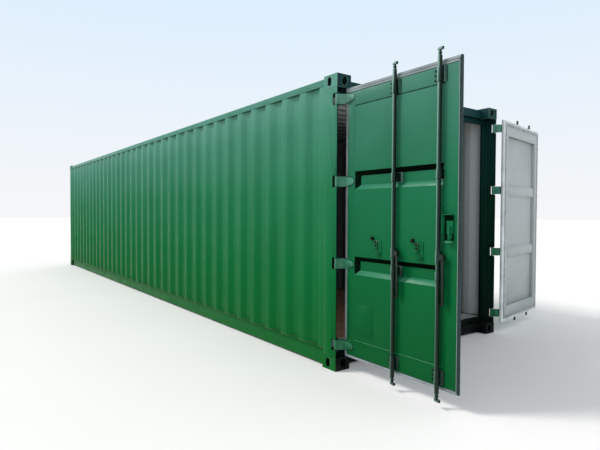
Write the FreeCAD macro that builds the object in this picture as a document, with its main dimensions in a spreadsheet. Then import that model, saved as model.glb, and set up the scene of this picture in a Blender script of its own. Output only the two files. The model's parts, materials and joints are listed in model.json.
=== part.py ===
import FreeCAD, Part
import math
import os
import re

import Sketcher

# A dry freight container of pressed and welded steel with two hinged door leaves.
# Frame: +X along the container towards its doors, +Z up, millimetres.
# Origin: middle of the four bottom corner castings, on the plane that they stand on.
# The left leaf (at -Y) rests opened by a quarter turn, the right leaf (at +Y) by a half turn.

SIZES = {
    # overall
    "length": 10668.0,
    "width": 2438.0,
    "height": 2591.0,
    # corner castings
    "casting_length": 178.0,
    "casting_width": 162.0,
    "casting_height": 118.0,
    "casting_wall": 21.0,
    "casting_back": 8.0,
    "casting_face": 28.0,
    "aperture_from_end": 103.5,
    "aperture_from_side": 89.5,
    "slot_length": 124.0,
    "slot_width": 63.5,
    "side_slot_width": 51.0,
    "side_slot_height": 79.0,
    "side_slot_level": 59.0,
    # frame
    "roof_drop": 20.0,
    "base_gap": 15.0,
    "rail_inset": 4.0,
    "rail_size": 60.0,
    "rail_wall": 3.0,
    "low_rail_top": 170.0,
    "low_rail_web": 34.0,
    "low_rail_wall": 4.5,
    "low_rail_lip": 6.0,
    "low_rail_shelf": 52.0,
    "low_rail_foot": 66.0,
    "post_inset": 3.0,
    "post_depth": 178.0,
    "post_wall": 6.0,
    "channel_wall": 8.0,
    "channel_flange": 38.0,
    "channel_depth": 117.0,
    "jamb_width": 49.0,
    "front_post_leg": 50.0,
    # door end
    "door_face": 95.0,
    "seal_landing": 140.0,
    "portal_depth": 178.0,
    "portal_wall": 4.0,
    "opening_top": 2430.0,
    "header_low": 2479.0,
    "sill_step": 112.0,
    # walls and roof
    "wall_inset": 8.0,
    "sheet": 2.0,
    "crest": 78.0,
    "slope": 74.0,
    "valley": 76.0,
    "wall_wave": 36.0,
    "front_crest": 110.0,
    "front_slope": 18.0,
    "front_valley": 104.0,
    "front_wave": 45.6,
    "roof_crest": 110.0,
    "roof_slope": 20.0,
    "roof_valley": 59.0,
    "roof_wave": 20.0,
    "roof_plate": 3.0,
    # floor
    "floor_top": 165.0,
    "floor_thick": 28.0,
    "floor_side_gap": 52.0,
    "board_pitch": 1150.0,
    "board_gap": 2.0,
    "beam_pitch": 302.0,
    "beam_flange": 45.0,
    "beam_wall": 4.0,
    "front_rail_back": 64.0,
    "threshold_reach": 180.0,
    "threshold_thick": 3.0,
    # hinges
    "pin_inset": 20.0,
    "pin_depth": 24.0,
    "pin_radius": 8.0,
    "pin_play": 0.05,
    "hinge_level": 231.0,
    "hinge_pitch": 713.0,
    "knuckle_radius": 14.0,
    "knuckle_half": 44.0,
    "lug_gap": 2.0,
    "lug_thick": 16.0,
    "lug_reach": 36.0,
    "lug_depth": 60.0,
    "notch_half": 50.0,
    "notch_depth": 59.0,
    "blade_reach": 150.0,
    "blade_thick": 9.0,
    "blade_bend": 31.5,
    "blade_elbow": 25.2,
    "blade_root": 42.0,
    "blade_shoulder_half": 26.4,
    "blade_tip_half": 13.2,
    # door leaf, measured from the hinge pin across the leaf
    "leaf_offset": 70.0,
    "leaf_thick": 40.0,
    "gasket_edge": 26.0,
    "gasket_width": 42.0,
    "gasket_height": 31.0,
    "gasket_step": 4.0,
    "leaf_gap": 5.0,
    "free_lip": 8.0,
    "free_stile": 111.0,
    "casting_clear": 6.0,
    "stile_width": 90.0,
    "stile_wall": 3.0,
    "rail_height": 142.0,
    "recess_depth": 36.0,
    "recess_slope": 38.0,
    "recess_height": 155.0,
    "recess_margin": 3.0,
    "low_recess": 858.0,
    "high_recess": 1584.0,
    # locking gear
    "outer_rod": 626.0,
    "inner_rod": 1046.0,
    "rod_standoff": 28.0,
    "rod_radius": 16.5,
    "rod_end": 52.0,
    "bearing_play": 0.1,
    "neck_length": 54.0,
    "neck_radius": 10.0,
    "bulge_radius": 14.0,
    "bulge_height": 12.0,
    "bulge_level": 82.0,
    "lobe_reach": 36.0,
    "lobe_tail": 22.0,
    "lobe_width": 20.0,
    "lobe_height": 16.0,
    "rest_turn": 12.0,
    "right_leaf_turn": 100.0,
    "strap_wall": 4.5,
    "bracket_half": 44.0,
    "bracket_plate": 6.0,
    "bracket_height": 70.0,
    "guide_height": 104.0,
    "low_guide": 172.0,
    "high_guide": 2304.0,
    "keeper_inside": 42.0,
    "keeper_outside": 55.0,
    "keeper_lip": 30.0,
    "keeper_out": 30.0,
    "keeper_lip_thick": 10.0,
    "keeper_height": 48.0,
    "keeper_level": 74.0,
    # handles
    "handle_level": 1077.0,
    "hub_radius": 21.0,
    "hub_height": 84.0,
    "lug_arm": 44.0,
    "handle_width": 28.0,
    "handle_thick": 10.0,
    "handle_length": 345.0,
    "handle_eye": 16.0,
    "handle_pin": 6.0,
    "fork_gap": 1.0,
    "fork_wall": 6.0,
    "fork_half": 20.0,
    "catch_offset": 182.0,
    "catch_width": 60.0,
    "catch_low": 1038.0,
    "catch_high": 1166.0,
    "catch_plate": 6.0,
    "catch_shelf": 9.0,
    "catch_reach": 40.0,
    "catch_play": 6.0,
    # small fittings on the left leaf
    "plate_from": 164.0,
    "plate_width": 222.0,
    "plate_low": 338.0,
    "plate_height": 276.0,
    "plate_thick": 2.0,
    "staple_from": 1080.0,
    "staple_width": 78.0,
    "staple_low": 1182.0,
    "staple_height": 196.0,
    "staple_hood": 137.2,
    "staple_loop_low": 19.6,
    "staple_loop_high": 107.8,
    "staple_loop_from": 50.7,
    "staple_plate": 6.0,
    "staple_bar": 6.0,
    "staple_reach": 38.0,
}

HINGES = 4
KNUCKLE_BLEND = 4.0  # how far the blade's root sits behind the pin's middle
THROUGH = 5.0  # how far a cutting tool runs past the face that it cuts
SEAL_PROUD = 1.0  # how far the gasket stands behind the leaf's inner face

doc = FreeCAD.newDocument("ShippingContainer")
sheet = doc.addObject("Spreadsheet::Sheet", "Sizes")
for row, (alias, value) in enumerate(SIZES.items(), start=1):
    sheet.set(f"A{row}", alias)
    sheet.set(f"B{row}", str(value))
    sheet.setAlias(f"B{row}", alias)
doc.recompute()

WORD = re.compile(r"[a-z][a-z_]*")
nodes = {}


def cells(text):
    """The expression with each size's name turned into its cell."""
    def cell(found):
        word = found.group()
        return f"Sizes.{word}" if word in SIZES else word

    return WORD.sub(cell, str(text))


def bind(thing, prop, text):
    thing.setExpression(prop, cells(text))


def put(thing, place, turn=None):
    """Places a thing at (x, y, z), turned first if turn gives an (axis, angle or size's name)."""
    if turn:
        axis, angle = turn
        degrees = SIZES.get(angle, angle)
        spin = FreeCAD.Rotation(FreeCAD.Vector(*axis), degrees)
        thing.Placement = FreeCAD.Placement(FreeCAD.Vector(0, 0, 0), spin)
        if angle in SIZES:
            bind(thing, "Placement.Rotation.Angle", angle)
    for letter, text in zip("xyz", place):
        bind(thing, f"Placement.Base.{letter}", text)
    return thing


def box(name, size, corner):
    thing = doc.addObject("Part::Box", name)
    for prop, text in zip(("Length", "Width", "Height"), size):
        bind(thing, prop, text)
    return put(thing, corner)


def cylinder(name, radius, height, foot, axis="z"):
    """A cylinder from its foot's middle along +z, +y or +x."""
    turns = {"z": None, "y": ((1, 0, 0), -90), "x": ((0, 1, 0), 90)}
    thing = doc.addObject("Part::Cylinder", name)
    bind(thing, "Radius", radius)
    bind(thing, "Height", height)
    return put(thing, foot, turns[axis])


def plane_of(body, role):
    return next(feature for feature in body.Origin.OriginFeatures if feature.Role == role)


def sketch(body, name, loops, plane):
    """A sketch whose corners are each held to the body's origin by two bound distances."""
    drawing = body.newObject("Sketcher::SketchObject", name)
    drawing.AttachmentSupport = [(plane_of(body, plane), "")]
    drawing.MapMode = "FlatFace"
    for loop in loops:
        first = drawing.GeometryCount
        count = len(loop)
        turn = 2 * math.pi / count
        start = [FreeCAD.Vector(math.cos(turn * k), math.sin(turn * k), 0) * 10 for k in range(count)]
        drawing.addGeometry([Part.LineSegment(start[k], start[(k + 1) % count]) for k in range(count)])
        for k in range(count):
            after = first + (k + 1) % count
            drawing.addConstraint(Sketcher.Constraint("Coincident", first + k, 2, after, 1))
        for k, (across, up) in enumerate(loop):
            for kind, text, value in (("DistanceX", across, start[k].x), ("DistanceY", up, start[k].y)):
                index = drawing.addConstraint(Sketcher.Constraint(kind, -1, 1, first + k, 1, value))
                bind(drawing, f"Constraints[{index}]", text)
    return drawing


def pad(body, name, loops, depth, plane="XY_Plane"):
    """A pad of the outline (and its holes) along +Z, +X (YZ_Plane) or +Y (XZ_Plane)."""
    feature = body.newObject("PartDesign::Pad", name)
    feature.Profile = sketch(body, f"{name}_outline", loops, plane)
    feature.Reversed = plane == "XZ_Plane"
    bind(feature, "Length", depth)
    return feature


def prism(name, loops, depth, place=("0", "0", "0"), plane="XY_Plane"):
    body = doc.addObject("PartDesign::Body", name)
    pad(body, f"{name}_pad", loops, depth, plane)
    return put(body, place)


def repeated(name, loops, depth, place, plane, axis, count, pitch):
    """A body of one pad repeated in a line."""
    body = doc.addObject("PartDesign::Body", name)
    unit = pad(body, f"{name}_pad", loops, depth, plane)
    doc.recompute()
    line = body.newObject("PartDesign::LinearPattern", f"{name}_line")
    line.Originals = [unit]
    line.Direction = (plane_of(body, axis), [""])
    bind(line, "Length", f"({pitch}) * (({count}) - 1)")
    bind(line, "Occurrences", count)
    body.Tip = line
    return put(body, place)


def fuse(name, things):
    whole = doc.addObject("Part::MultiFuse", name)
    whole.Shapes = things
    return whole


def cut(name, base, tools):
    whole = doc.addObject("Part::Cut", name)
    whole.Base = base
    whole.Tool = tools[0] if len(tools) == 1 else fuse(f"{name}_tools", tools)
    return whole


def common(name, one, other):
    whole = doc.addObject("Part::Common", name)
    whole.Base = one
    whole.Tool = other
    return whole


def mirrored(thing, normal, base=(0, 0, 0)):
    image = doc.addObject("Part::Mirroring", f"{thing.Name}_image")
    image.Source = thing
    image.Normal = FreeCAD.Vector(*normal)
    image.Base = FreeCAD.Vector(*base)
    return image


def node(name, things):
    """Names the finished sub-part that holds these solids, which don't touch each other."""
    whole = doc.addObject("Part::Compound", name)
    whole.Links = things
    whole.Label = name
    nodes[name] = whole
    return whole


def both_sides(name, thing):
    """A sub-part with one piece on each side of the container."""
    return node(name, [thing, mirrored(thing, (0, 1, 0))])


def slot_tool(name, long_size, wide_size, depth, middle, long_axis, through):
    """A round-ended slot: a block between two cylinders, centred on middle, cut along `through`."""
    x, y, z = middle
    straight = f"(({long_size}) - ({wide_size}))"
    size = {"x": wide_size, "y": wide_size, "z": wide_size}
    size[long_axis] = straight
    size[through] = depth
    corner = [f"{at} - ({size[axis]}) / 2" for axis, at in zip("xyz", (x, y, z))]
    parts = [box(f"{name}_block", [size[axis] for axis in "xyz"], corner)]
    for end, sign in (("near", "-"), ("far", "+")):
        foot = dict(zip("xyz", (x, y, z)))
        foot[long_axis] = f"{foot[long_axis]} {sign} {straight} / 2"
        foot[through] = f"{foot[through]} - ({depth}) / 2"
        place = [foot[axis] for axis in "xyz"]
        parts.append(cylinder(f"{name}_{end}", f"({wide_size}) / 2", depth, place, through))
    return fuse(name, parts)


# Places that several pieces share.
DOOR_END = "length / 2"
NEAR_SIDE = "-width / 2"
FRAME_TOP = "(height - roof_drop)"
INNER_LENGTH = "(length - 2 * casting_length)"
INNER_WIDTH = "(width - 2 * casting_width)"
POST_TALL = "(height - 2 * casting_height)"
WALL_PITCH = "(crest + valley + 2 * slope)"
WALL_LENGTH = "(length - 2 * post_depth)"
WALL_WAVES = f"floor({WALL_LENGTH} / {WALL_PITCH})"
OPENING_WIDTH = "(width - 2 * jamb_width)"


def corner_castings():
    """Hollow castings with an aperture in the end, the side and the horizontal face."""
    for name, top in (("bottom", False), ("top", True)):
        foot = "height - casting_height" if top else "0"
        level = "height - side_slot_level" if top else "side_slot_level"
        shell = box(
            f"{name}_casting_block",
            ("casting_length", "casting_width", "casting_height"),
            (f"{DOOR_END} - casting_length", NEAR_SIDE, foot),
        )
        cavity = box(
            f"{name}_casting_cavity",
            (
                "casting_length - casting_wall - casting_back",
                "casting_width - casting_wall - casting_back",
                "casting_height - casting_face - casting_back",
            ),
            (
                f"{DOOR_END} - casting_length + casting_back",
                f"{NEAR_SIDE} + casting_wall",
                f"{foot} + casting_back" if top else "casting_face",
            ),
        )
        across = f"{DOOR_END} - aperture_from_end"
        beside = f"{NEAR_SIDE} + aperture_from_side"
        face = slot_tool(
            f"{name}_face_slot",
            "slot_length",
            "slot_width",
            "3 * casting_face",
            (across, beside, "height" if top else "0"),
            "x",
            "z",
        )
        side = slot_tool(
            f"{name}_side_slot",
            "side_slot_height",
            "side_slot_width",
            "3 * casting_wall",
            (across, NEAR_SIDE, level),
            "z",
            "y",
        )
        end = slot_tool(
            f"{name}_end_slot",
            "side_slot_height",
            "slot_width",
            "3 * casting_wall",
            (DOOR_END, beside, level),
            "z",
            "x",
        )
        one = cut(f"{name}_casting", shell, [cavity, face, side, end])
        across_width = mirrored(one, (0, 1, 0))
        far = mirrored(one, (1, 0, 0))
        node(f"{name}_corner_castings", [one, across_width, far, mirrored(far, (0, 1, 0))])


def hinge_levels():
    return [f"(hinge_level + {step} * hinge_pitch)" for step in range(HINGES)]


def corner_posts():
    """Door posts: a groove open to the door end, backed by a closed jamb. Front posts: closed L sections."""

    def at(inward, back):
        return f"{DOOR_END} - ({back})", f"{NEAR_SIDE} + {inward}"

    outline = [
        at("post_inset", "post_inset"),
        at("post_inset + channel_wall", "post_inset"),
        at("post_inset + channel_wall", "channel_depth - channel_wall"),
        at("channel_flange", "channel_depth - channel_wall"),
        at("channel_flange", "seal_landing"),
        at("jamb_width", "seal_landing"),
        at("jamb_width", "post_depth"),
        at("post_inset", "post_depth"),
    ]
    hollow = [
        at("post_inset + post_wall", "channel_depth"),
        at("channel_flange - post_wall", "channel_depth"),
        at("channel_flange - post_wall", "seal_landing + post_wall"),
        at("jamb_width - post_wall", "seal_landing + post_wall"),
        at("jamb_width - post_wall", "post_depth - post_wall"),
        at("post_inset + post_wall", "post_depth - post_wall"),
    ]
    post = prism("door_post", [outline, hollow], POST_TALL, ("0", "0", "casting_height"))
    notches = [
        box(
            f"hinge_notch_{number}",
            (f"notch_depth + {THROUGH}", f"channel_flange + {THROUGH}", "2 * notch_half"),
            (f"{DOOR_END} - notch_depth", f"{NEAR_SIDE} - {THROUGH / 2}", f"{level} - notch_half"),
        )
        for number, level in enumerate(hinge_levels(), start=1)
    ]
    both_sides("rear_corner_posts", cut("notched_door_post", post, notches))

    def front(inward, back):
        return f"-{DOOR_END} + {back}", f"{NEAR_SIDE} + {inward}"

    wall = "post_inset + post_wall"
    leg = "front_post_leg"
    outline = [
        front("post_inset", "post_inset"),
        front("casting_width", "post_inset"),
        front("casting_width", leg),
        front(leg, leg),
        front(leg, "post_depth"),
        front("post_inset", "post_depth"),
    ]
    hollow = [
        front(wall, wall),
        front("casting_width - post_wall", wall),
        front("casting_width - post_wall", f"{leg} - post_wall"),
        front(f"{leg} - post_wall", f"{leg} - post_wall"),
        front(f"{leg} - post_wall", "post_depth - post_wall"),
        front(wall, "post_depth - post_wall"),
    ]
    post = prism("front_post", [outline, hollow], POST_TALL, ("0", "0", "casting_height"))
    both_sides("front_corner_posts", post)


def rectangle(low, high):
    """Corners of a rectangle between two (across, up) corners."""
    return [low, (high[0], low[1]), high, (low[0], high[1])]


def tube_loops(low, high, wall):
    """A rectangle and the hole that leaves a wall inside it."""
    inner_low = tuple(f"{text} + {wall}" for text in low)
    inner_high = tuple(f"{text} - {wall}" for text in high)
    return [rectangle(low, high), rectangle(inner_low, inner_high)]


def side_rails():
    top = prism(
        "top_rail",
        tube_loops(
            (f"{NEAR_SIDE} + rail_inset", f"{FRAME_TOP} - rail_size"),
            (f"{NEAR_SIDE} + rail_inset + rail_size", FRAME_TOP),
            "rail_wall",
        ),
        INNER_LENGTH,
        (f"-{DOOR_END} + casting_length", "0", "0"),
        "YZ_Plane",
    )
    both_sides("top_side_rails", top)
    web = f"{NEAR_SIDE} + low_rail_web"
    outline = [
        (f"{NEAR_SIDE} + low_rail_lip", "low_rail_top"),
        (f"{NEAR_SIDE} + low_rail_lip", "low_rail_top - low_rail_wall"),
        (web, "low_rail_top - low_rail_wall"),
        (web, "base_gap"),
        (f"{NEAR_SIDE} + low_rail_foot", "base_gap"),
        (f"{NEAR_SIDE} + low_rail_foot", "base_gap + low_rail_wall"),
        (f"{web} + low_rail_wall", "base_gap + low_rail_wall"),
        (f"{web} + low_rail_wall", "low_rail_top - low_rail_wall"),
        (f"{NEAR_SIDE} + low_rail_shelf", "low_rail_top - low_rail_wall"),
        (f"{NEAR_SIDE} + low_rail_shelf", "low_rail_top"),
    ]
    foot = (f"-{DOOR_END} + casting_length", "0", "0")
    low = prism("bottom_rail", [outline], INNER_LENGTH, foot, "YZ_Plane")
    both_sides("bottom_side_rails", low)


def end_frames():
    """Header and sill of the doorway, stepped back behind the leaves, and the rails of the closed end."""

    def back(distance):
        return f"{DOOR_END} - ({distance})"

    def stepped(name, low, step, high, upright):
        """A hollow beam with its seal landing on one half and its forward face on the other."""
        wall = "portal_wall"
        if upright:
            outer = [("door_face", step), ("door_face", high), ("portal_depth", high), ("portal_depth", low)]
            outer += [("seal_landing", low), ("seal_landing", step)]
            inner = [
                (f"door_face + {wall}", f"{step} + {wall}"),
                (f"door_face + {wall}", f"{high} - {wall}"),
                (f"portal_depth - {wall}", f"{high} - {wall}"),
                (f"portal_depth - {wall}", f"{low} + {wall}"),
                (f"seal_landing + {wall}", f"{low} + {wall}"),
                (f"seal_landing + {wall}", f"{step} + {wall}"),
            ]
        else:
            outer = [("door_face", low), ("door_face", step), ("seal_landing", step), ("seal_landing", high)]
            outer += [("portal_depth", high), ("portal_depth", low)]
            inner = [
                (f"door_face + {wall}", f"{low} + {wall}"),
                (f"door_face + {wall}", f"{step} - {wall}"),
                (f"seal_landing + {wall}", f"{step} - {wall}"),
                (f"seal_landing + {wall}", f"{high} - {wall}"),
                (f"portal_depth - {wall}", f"{high} - {wall}"),
                (f"portal_depth - {wall}", f"{low} + {wall}"),
            ]
        loops = [[(back(across), up) for across, up in loop] for loop in (outer, inner)]
        beam = prism(f"{name}_beam", loops, OPENING_WIDTH, ("0", f"-{OPENING_WIDTH} / 2", "0"), "XZ_Plane")
        size = ("casting_length", f"casting_width + {THROUGH}", "casting_height")
        foot = "height - casting_height" if upright else "0"
        start = f"{DOOR_END} - casting_length"
        near = box(f"{name}_near_room", size, (start, f"{NEAR_SIDE} - {THROUGH}", foot))
        far = box(f"{name}_far_room", size, (start, "width / 2 - casting_width", foot))
        node(name, [cut(f"{name}_between_castings", beam, [near, far])])

    stepped("door_header", "opening_top", "header_low", FRAME_TOP, True)
    stepped("door_sill", "base_gap", "sill_step", "floor_top", False)

    front = f"-{DOOR_END} + rail_inset"
    front_back = f"-{DOOR_END} + front_rail_back"
    for name, low, high, wall in (
        ("front_top_rail", f"{FRAME_TOP} - rail_size", FRAME_TOP, "rail_wall"),
        ("front_bottom_rail", "base_gap", "floor_top", "portal_wall"),
    ):
        loops = tube_loops((front, low), (front_back, high), wall)
        place = ("0", f"-{INNER_WIDTH} / 2", "0")
        node(name, [prism(f"{name}_tube", loops, INNER_WIDTH, place, "XZ_Plane")])


def wave_outline(flat, rise, low_flat, depth, thick, swap=False):
    """One pitch of pressed sheet: half a crest, a valley that steps in by depth, and half a crest."""
    steps = [
        ("0", "0"),
        (f"{flat} / 2", "0"),
        (f"{flat} / 2 + {rise}", depth),
        (f"{flat} / 2 + {rise} + {low_flat}", depth),
        (f"{flat} / 2 + 2 * {rise} + {low_flat}", "0"),
        (f"{flat} + 2 * {rise} + {low_flat}", "0"),
    ]
    back = [(along, f"{inward} + {thick}") for along, inward in reversed(steps)]
    corners = steps + back
    return [(inward, along) for along, inward in corners] if swap else corners


def walls():
    """Pressed side walls, closed end wall and roof, each a run of waves between two plain edges."""
    wall_tall = f"({FRAME_TOP} - rail_size - low_rail_top)"
    edge = f"(({WALL_LENGTH} - {WALL_WAVES} * {WALL_PITCH}) / 2)"
    wall_start = f"-{DOOR_END} + post_depth"
    face = f"{NEAR_SIDE} + wall_inset"
    waves = repeated(
        "side_waves",
        [wave_outline("crest", "slope", "valley", "wall_wave", "sheet")],
        wall_tall,
        (f"{wall_start} + {edge}", face, "low_rail_top"),
        "XY_Plane",
        "X_Axis",
        WALL_WAVES,
        WALL_PITCH,
    )
    near_edge = box("side_front_edge", (edge, "sheet", wall_tall), (wall_start, face, "low_rail_top"))
    far_start = f"{wall_start} + {edge} + {WALL_WAVES} * {WALL_PITCH}"
    far_edge = box("side_rear_edge", (edge, "sheet", wall_tall), (far_start, face, "low_rail_top"))
    wall = fuse("side_sheet", [waves, near_edge, far_edge])
    node("left_side_wall", [wall])
    node("right_side_wall", [mirrored(wall, (0, 1, 0))])

    pitch = "(front_crest + front_valley + 2 * front_slope)"
    count = f"floor({INNER_WIDTH} / {pitch})"
    edge = f"(({INNER_WIDTH} - {count} * {pitch}) / 2)"
    tall = f"({FRAME_TOP} - rail_size - floor_top)"
    face = f"-{DOOR_END} + wall_inset"
    start = f"-{INNER_WIDTH} / 2"
    waves = repeated(
        "front_waves",
        [wave_outline("front_crest", "front_slope", "front_valley", "front_wave", "sheet", swap=True)],
        tall,
        (face, f"{start} + {edge}", "floor_top"),
        "XY_Plane",
        "Y_Axis",
        count,
        pitch,
    )
    far_start = f"{start} + {edge} + {count} * {pitch}"
    edges = [
        box("front_near_edge", ("sheet", edge, tall), (face, start, "floor_top")),
        box("front_far_edge", ("sheet", edge, tall), (face, far_start, "floor_top")),
    ]
    node("front_wall", [fuse("front_sheet", [waves, *edges])])

    pitch = "(roof_crest + roof_valley + 2 * roof_slope)"
    count = f"floor({INNER_LENGTH} / {pitch})"
    edge = f"(({INNER_LENGTH} - {count} * {pitch}) / 2)"
    span = "(width - 2 * (rail_inset + rail_size))"
    start = f"-{INNER_LENGTH} / 2"
    level = f"{FRAME_TOP} - roof_wave - 2 * sheet"
    drop = wave_outline("roof_crest", "roof_slope", "roof_valley", "-roof_wave", "sheet")
    waves = repeated(
        "roof_waves",
        [drop],
        span,
        (f"{start} + {edge}", f"-{span} / 2", f"{level} + roof_wave"),
        "XZ_Plane",
        "X_Axis",
        count,
        pitch,
    )
    edges = [
        box("roof_front_edge", (edge, span, "sheet"), (start, f"-{span} / 2", f"{level} + roof_wave")),
        box(
            "roof_rear_edge",
            (edge, span, "sheet"),
            (f"{start} + {edge} + {count} * {pitch}", f"-{span} / 2", f"{level} + roof_wave"),
        ),
    ]
    node("roof_sheet", [fuse("roof_pressing", [waves, *edges])])
    plate_level = f"{FRAME_TOP} - roof_plate - 2 * sheet"
    front_plate = box(
        "front_roof_plate",
        ("casting_length - front_rail_back", INNER_WIDTH, "roof_plate"),
        (f"-{DOOR_END} + front_rail_back", f"-{INNER_WIDTH} / 2", plate_level),
    )
    node("roof_end_plate", [front_plate])


def floor():
    """Plywood boards in two rows on channel beams, with a steel plate where a loader crosses the sill."""
    start = f"-{DOOR_END} + front_rail_back"
    run = "(length - front_rail_back - portal_depth)"
    side = "(width / 2 - floor_side_gap)"
    rows = f"floor({run} / board_pitch)"
    pitch = f"({run} / {rows})"
    low = "floor_top - floor_thick"
    for name, near in (("near_boards", f"-{side}"), ("far_boards", "board_gap / 2")):
        loop = rectangle(("0", "0"), (f"{pitch} - board_gap", f"{side} - board_gap / 2"))
        repeated(name, [loop], "floor_thick", (start, near, low), "XY_Plane", "X_Axis", rows, pitch)
    node("floor_boards", [doc.getObject("near_boards"), doc.getObject("far_boards")])

    beam_span = f"(width - 2 * (low_rail_web + low_rail_wall))"
    count = f"floor({run} / beam_pitch)"
    wall = "beam_wall"
    top = low
    foot = "base_gap + low_rail_wall"
    loop = [
        ("0", foot),
        ("beam_flange", foot),
        ("beam_flange", f"{foot} + {wall}"),
        (wall, f"{foot} + {wall}"),
        (wall, f"{top} - {wall}"),
        ("beam_flange", f"{top} - {wall}"),
        ("beam_flange", top),
        ("0", top),
    ]
    offset = f"({run} - ({count} - 1) * beam_pitch - beam_flange) / 2"
    repeated(
        "cross_beams",
        [loop],
        beam_span,
        (f"{start} + {offset}", f"-{beam_span} / 2", "0"),
        "XZ_Plane",
        "X_Axis",
        count,
        "beam_pitch",
    )
    node("cross_members", [doc.getObject("cross_beams")])
    plate = box(
        "threshold_steel",
        ("threshold_reach", f"2 * {side}", "threshold_thick"),
        (f"{DOOR_END} - portal_depth - threshold_reach", f"-{side}", "floor_top"),
    )
    node("threshold_plate", [plate])


# Depth of the rods' axes behind the end plane, with the doors closed.
ROD_DEPTH = "(pin_depth + leaf_offset - rod_standoff)"
PIN_SIDE = "(-width / 2 + pin_inset)"


def cam_keepers():
    """Hooked blocks on the header and sill; the rods' cams turn in behind their lips."""
    for name, level in (("header", "height - keeper_level"), ("sill", "keeper_level")):
        pieces = []
        for rod in ("outer_rod", "inner_rod"):

            def at(away, out):
                return f"{DOOR_END} - {ROD_DEPTH} + {out}", f"{PIN_SIDE} + {rod} - {away}"

            base = f"({ROD_DEPTH} - door_face)"
            loop = [
                at("keeper_inside", base),
                at("keeper_inside", "keeper_out"),
                at("keeper_lip", "keeper_out"),
                at("keeper_lip", "(keeper_out + keeper_lip_thick)"),
                at("keeper_outside", "(keeper_out + keeper_lip_thick)"),
                at("keeper_outside", base),
            ]
            place = ("0", "0", f"{level} - keeper_height / 2")
            keeper = prism(f"{name}_{rod}_keeper", [loop], "keeper_height", place)
            pieces += [keeper, mirrored(keeper, (0, 1, 0))]
        node(f"{name}_cam_keepers", pieces)


def hinge_hardware():
    """Lug pairs welded into the door posts' channels, and the pins that they hold."""
    lugs = []
    pins = []
    reach = "(lug_reach - post_inset - channel_wall)"
    depth = "(lug_depth - post_inset - channel_wall)"
    pin_x = f"{DOOR_END} - pin_depth"
    pin_foot = "(knuckle_half + lug_gap + lug_thick)"
    for number, level in enumerate(hinge_levels(), start=1):
        for side, foot in (("low", f"{level} - {pin_foot}"), ("high", f"{level} + knuckle_half + lug_gap")):
            name = f"lug_{number}_{side}"
            corner = (f"{DOOR_END} - lug_depth", f"{NEAR_SIDE} + post_inset + channel_wall", foot)
            block = box(f"{name}_block", (depth, reach, "lug_thick"), corner)
            bore = cylinder(f"{name}_bore", "pin_radius + pin_play", "lug_thick", (pin_x, PIN_SIDE, foot))
            lug = cut(name, block, [bore])
            lugs += [lug, mirrored(lug, (0, 1, 0))]
        pin = cylinder(
            f"pin_{number}", "pin_radius", f"2 * {pin_foot}", (pin_x, PIN_SIDE, f"{level} - {pin_foot}")
        )
        pins += [pin, mirrored(pin, (0, 1, 0))]
    node("hinge_lugs", lugs)
    node("hinge_pins", pins)


# A leaf is drawn from its hinge axis: x runs across the leaf to its free edge and y from its
# outer side to its inner side, as the left leaf stands when it is open by a quarter turn.
LEAF_FACE = "leaf_offset"
LEAF_BACK = "(leaf_offset + leaf_thick)"
LEAF_END = "(width / 2 - pin_inset - leaf_gap)"
GASKET_LOW = "(casting_height + casting_clear)"
GASKET_HIGH = "(height - casting_height - casting_clear)"
STILE = "(gasket_edge + gasket_width)"
STILE_END = "(width / 2 - pin_inset - leaf_gap - free_lip)"
STEEL_LOW = f"({GASKET_LOW} + gasket_height)"
STEEL_HIGH = f"({GASKET_HIGH} - gasket_height)"


def leaf_frame():
    """Two box stiles joined by a top and a bottom rail."""
    steel_tall = f"({STEEL_HIGH} - {STEEL_LOW})"
    parts = []
    for name, low, high in (
        ("hinge_stile", STILE, f"({STILE} + stile_width)"),
        ("free_edge_stile", f"({STILE_END} - free_stile)", STILE_END),
    ):
        loops = tube_loops((low, LEAF_FACE), (high, LEAF_BACK), "stile_wall")
        parts.append(prism(name, loops, steel_tall, ("0", "0", STEEL_LOW)))
    rail_span = f"({STILE_END} - {STILE} - stile_width - free_stile)"
    for name, low, high in (
        ("leaf_bottom_rail", STEEL_LOW, f"{STEEL_LOW} + rail_height"),
        ("leaf_top_rail", f"{STEEL_HIGH} - rail_height", STEEL_HIGH),
    ):
        loops = tube_loops((LEAF_FACE, low), (LEAF_BACK, high), "stile_wall")
        parts.append(prism(name, loops, rail_span, (f"{STILE} + stile_width", "0", "0"), "YZ_Plane"))
    return [fuse("leaf_frame", parts)]


def frustum(name, low, high, near, far, slope):
    """A block that narrows by slope on all four sides between two depths."""
    shape = doc.addObject("Part::Wedge", name)
    bind(shape, "Xmin", low[0])
    bind(shape, "Xmax", high[0])
    bind(shape, "Zmin", low[1])
    bind(shape, "Zmax", high[1])
    bind(shape, "X2min", f"{low[0]} + {slope}")
    bind(shape, "X2max", f"{high[0]} - {slope}")
    bind(shape, "Z2min", f"{low[1]} + {slope}")
    bind(shape, "Z2max", f"{high[1]} - {slope}")
    bind(shape, "Ymin", near)
    bind(shape, "Ymax", far)
    return shape


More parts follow.
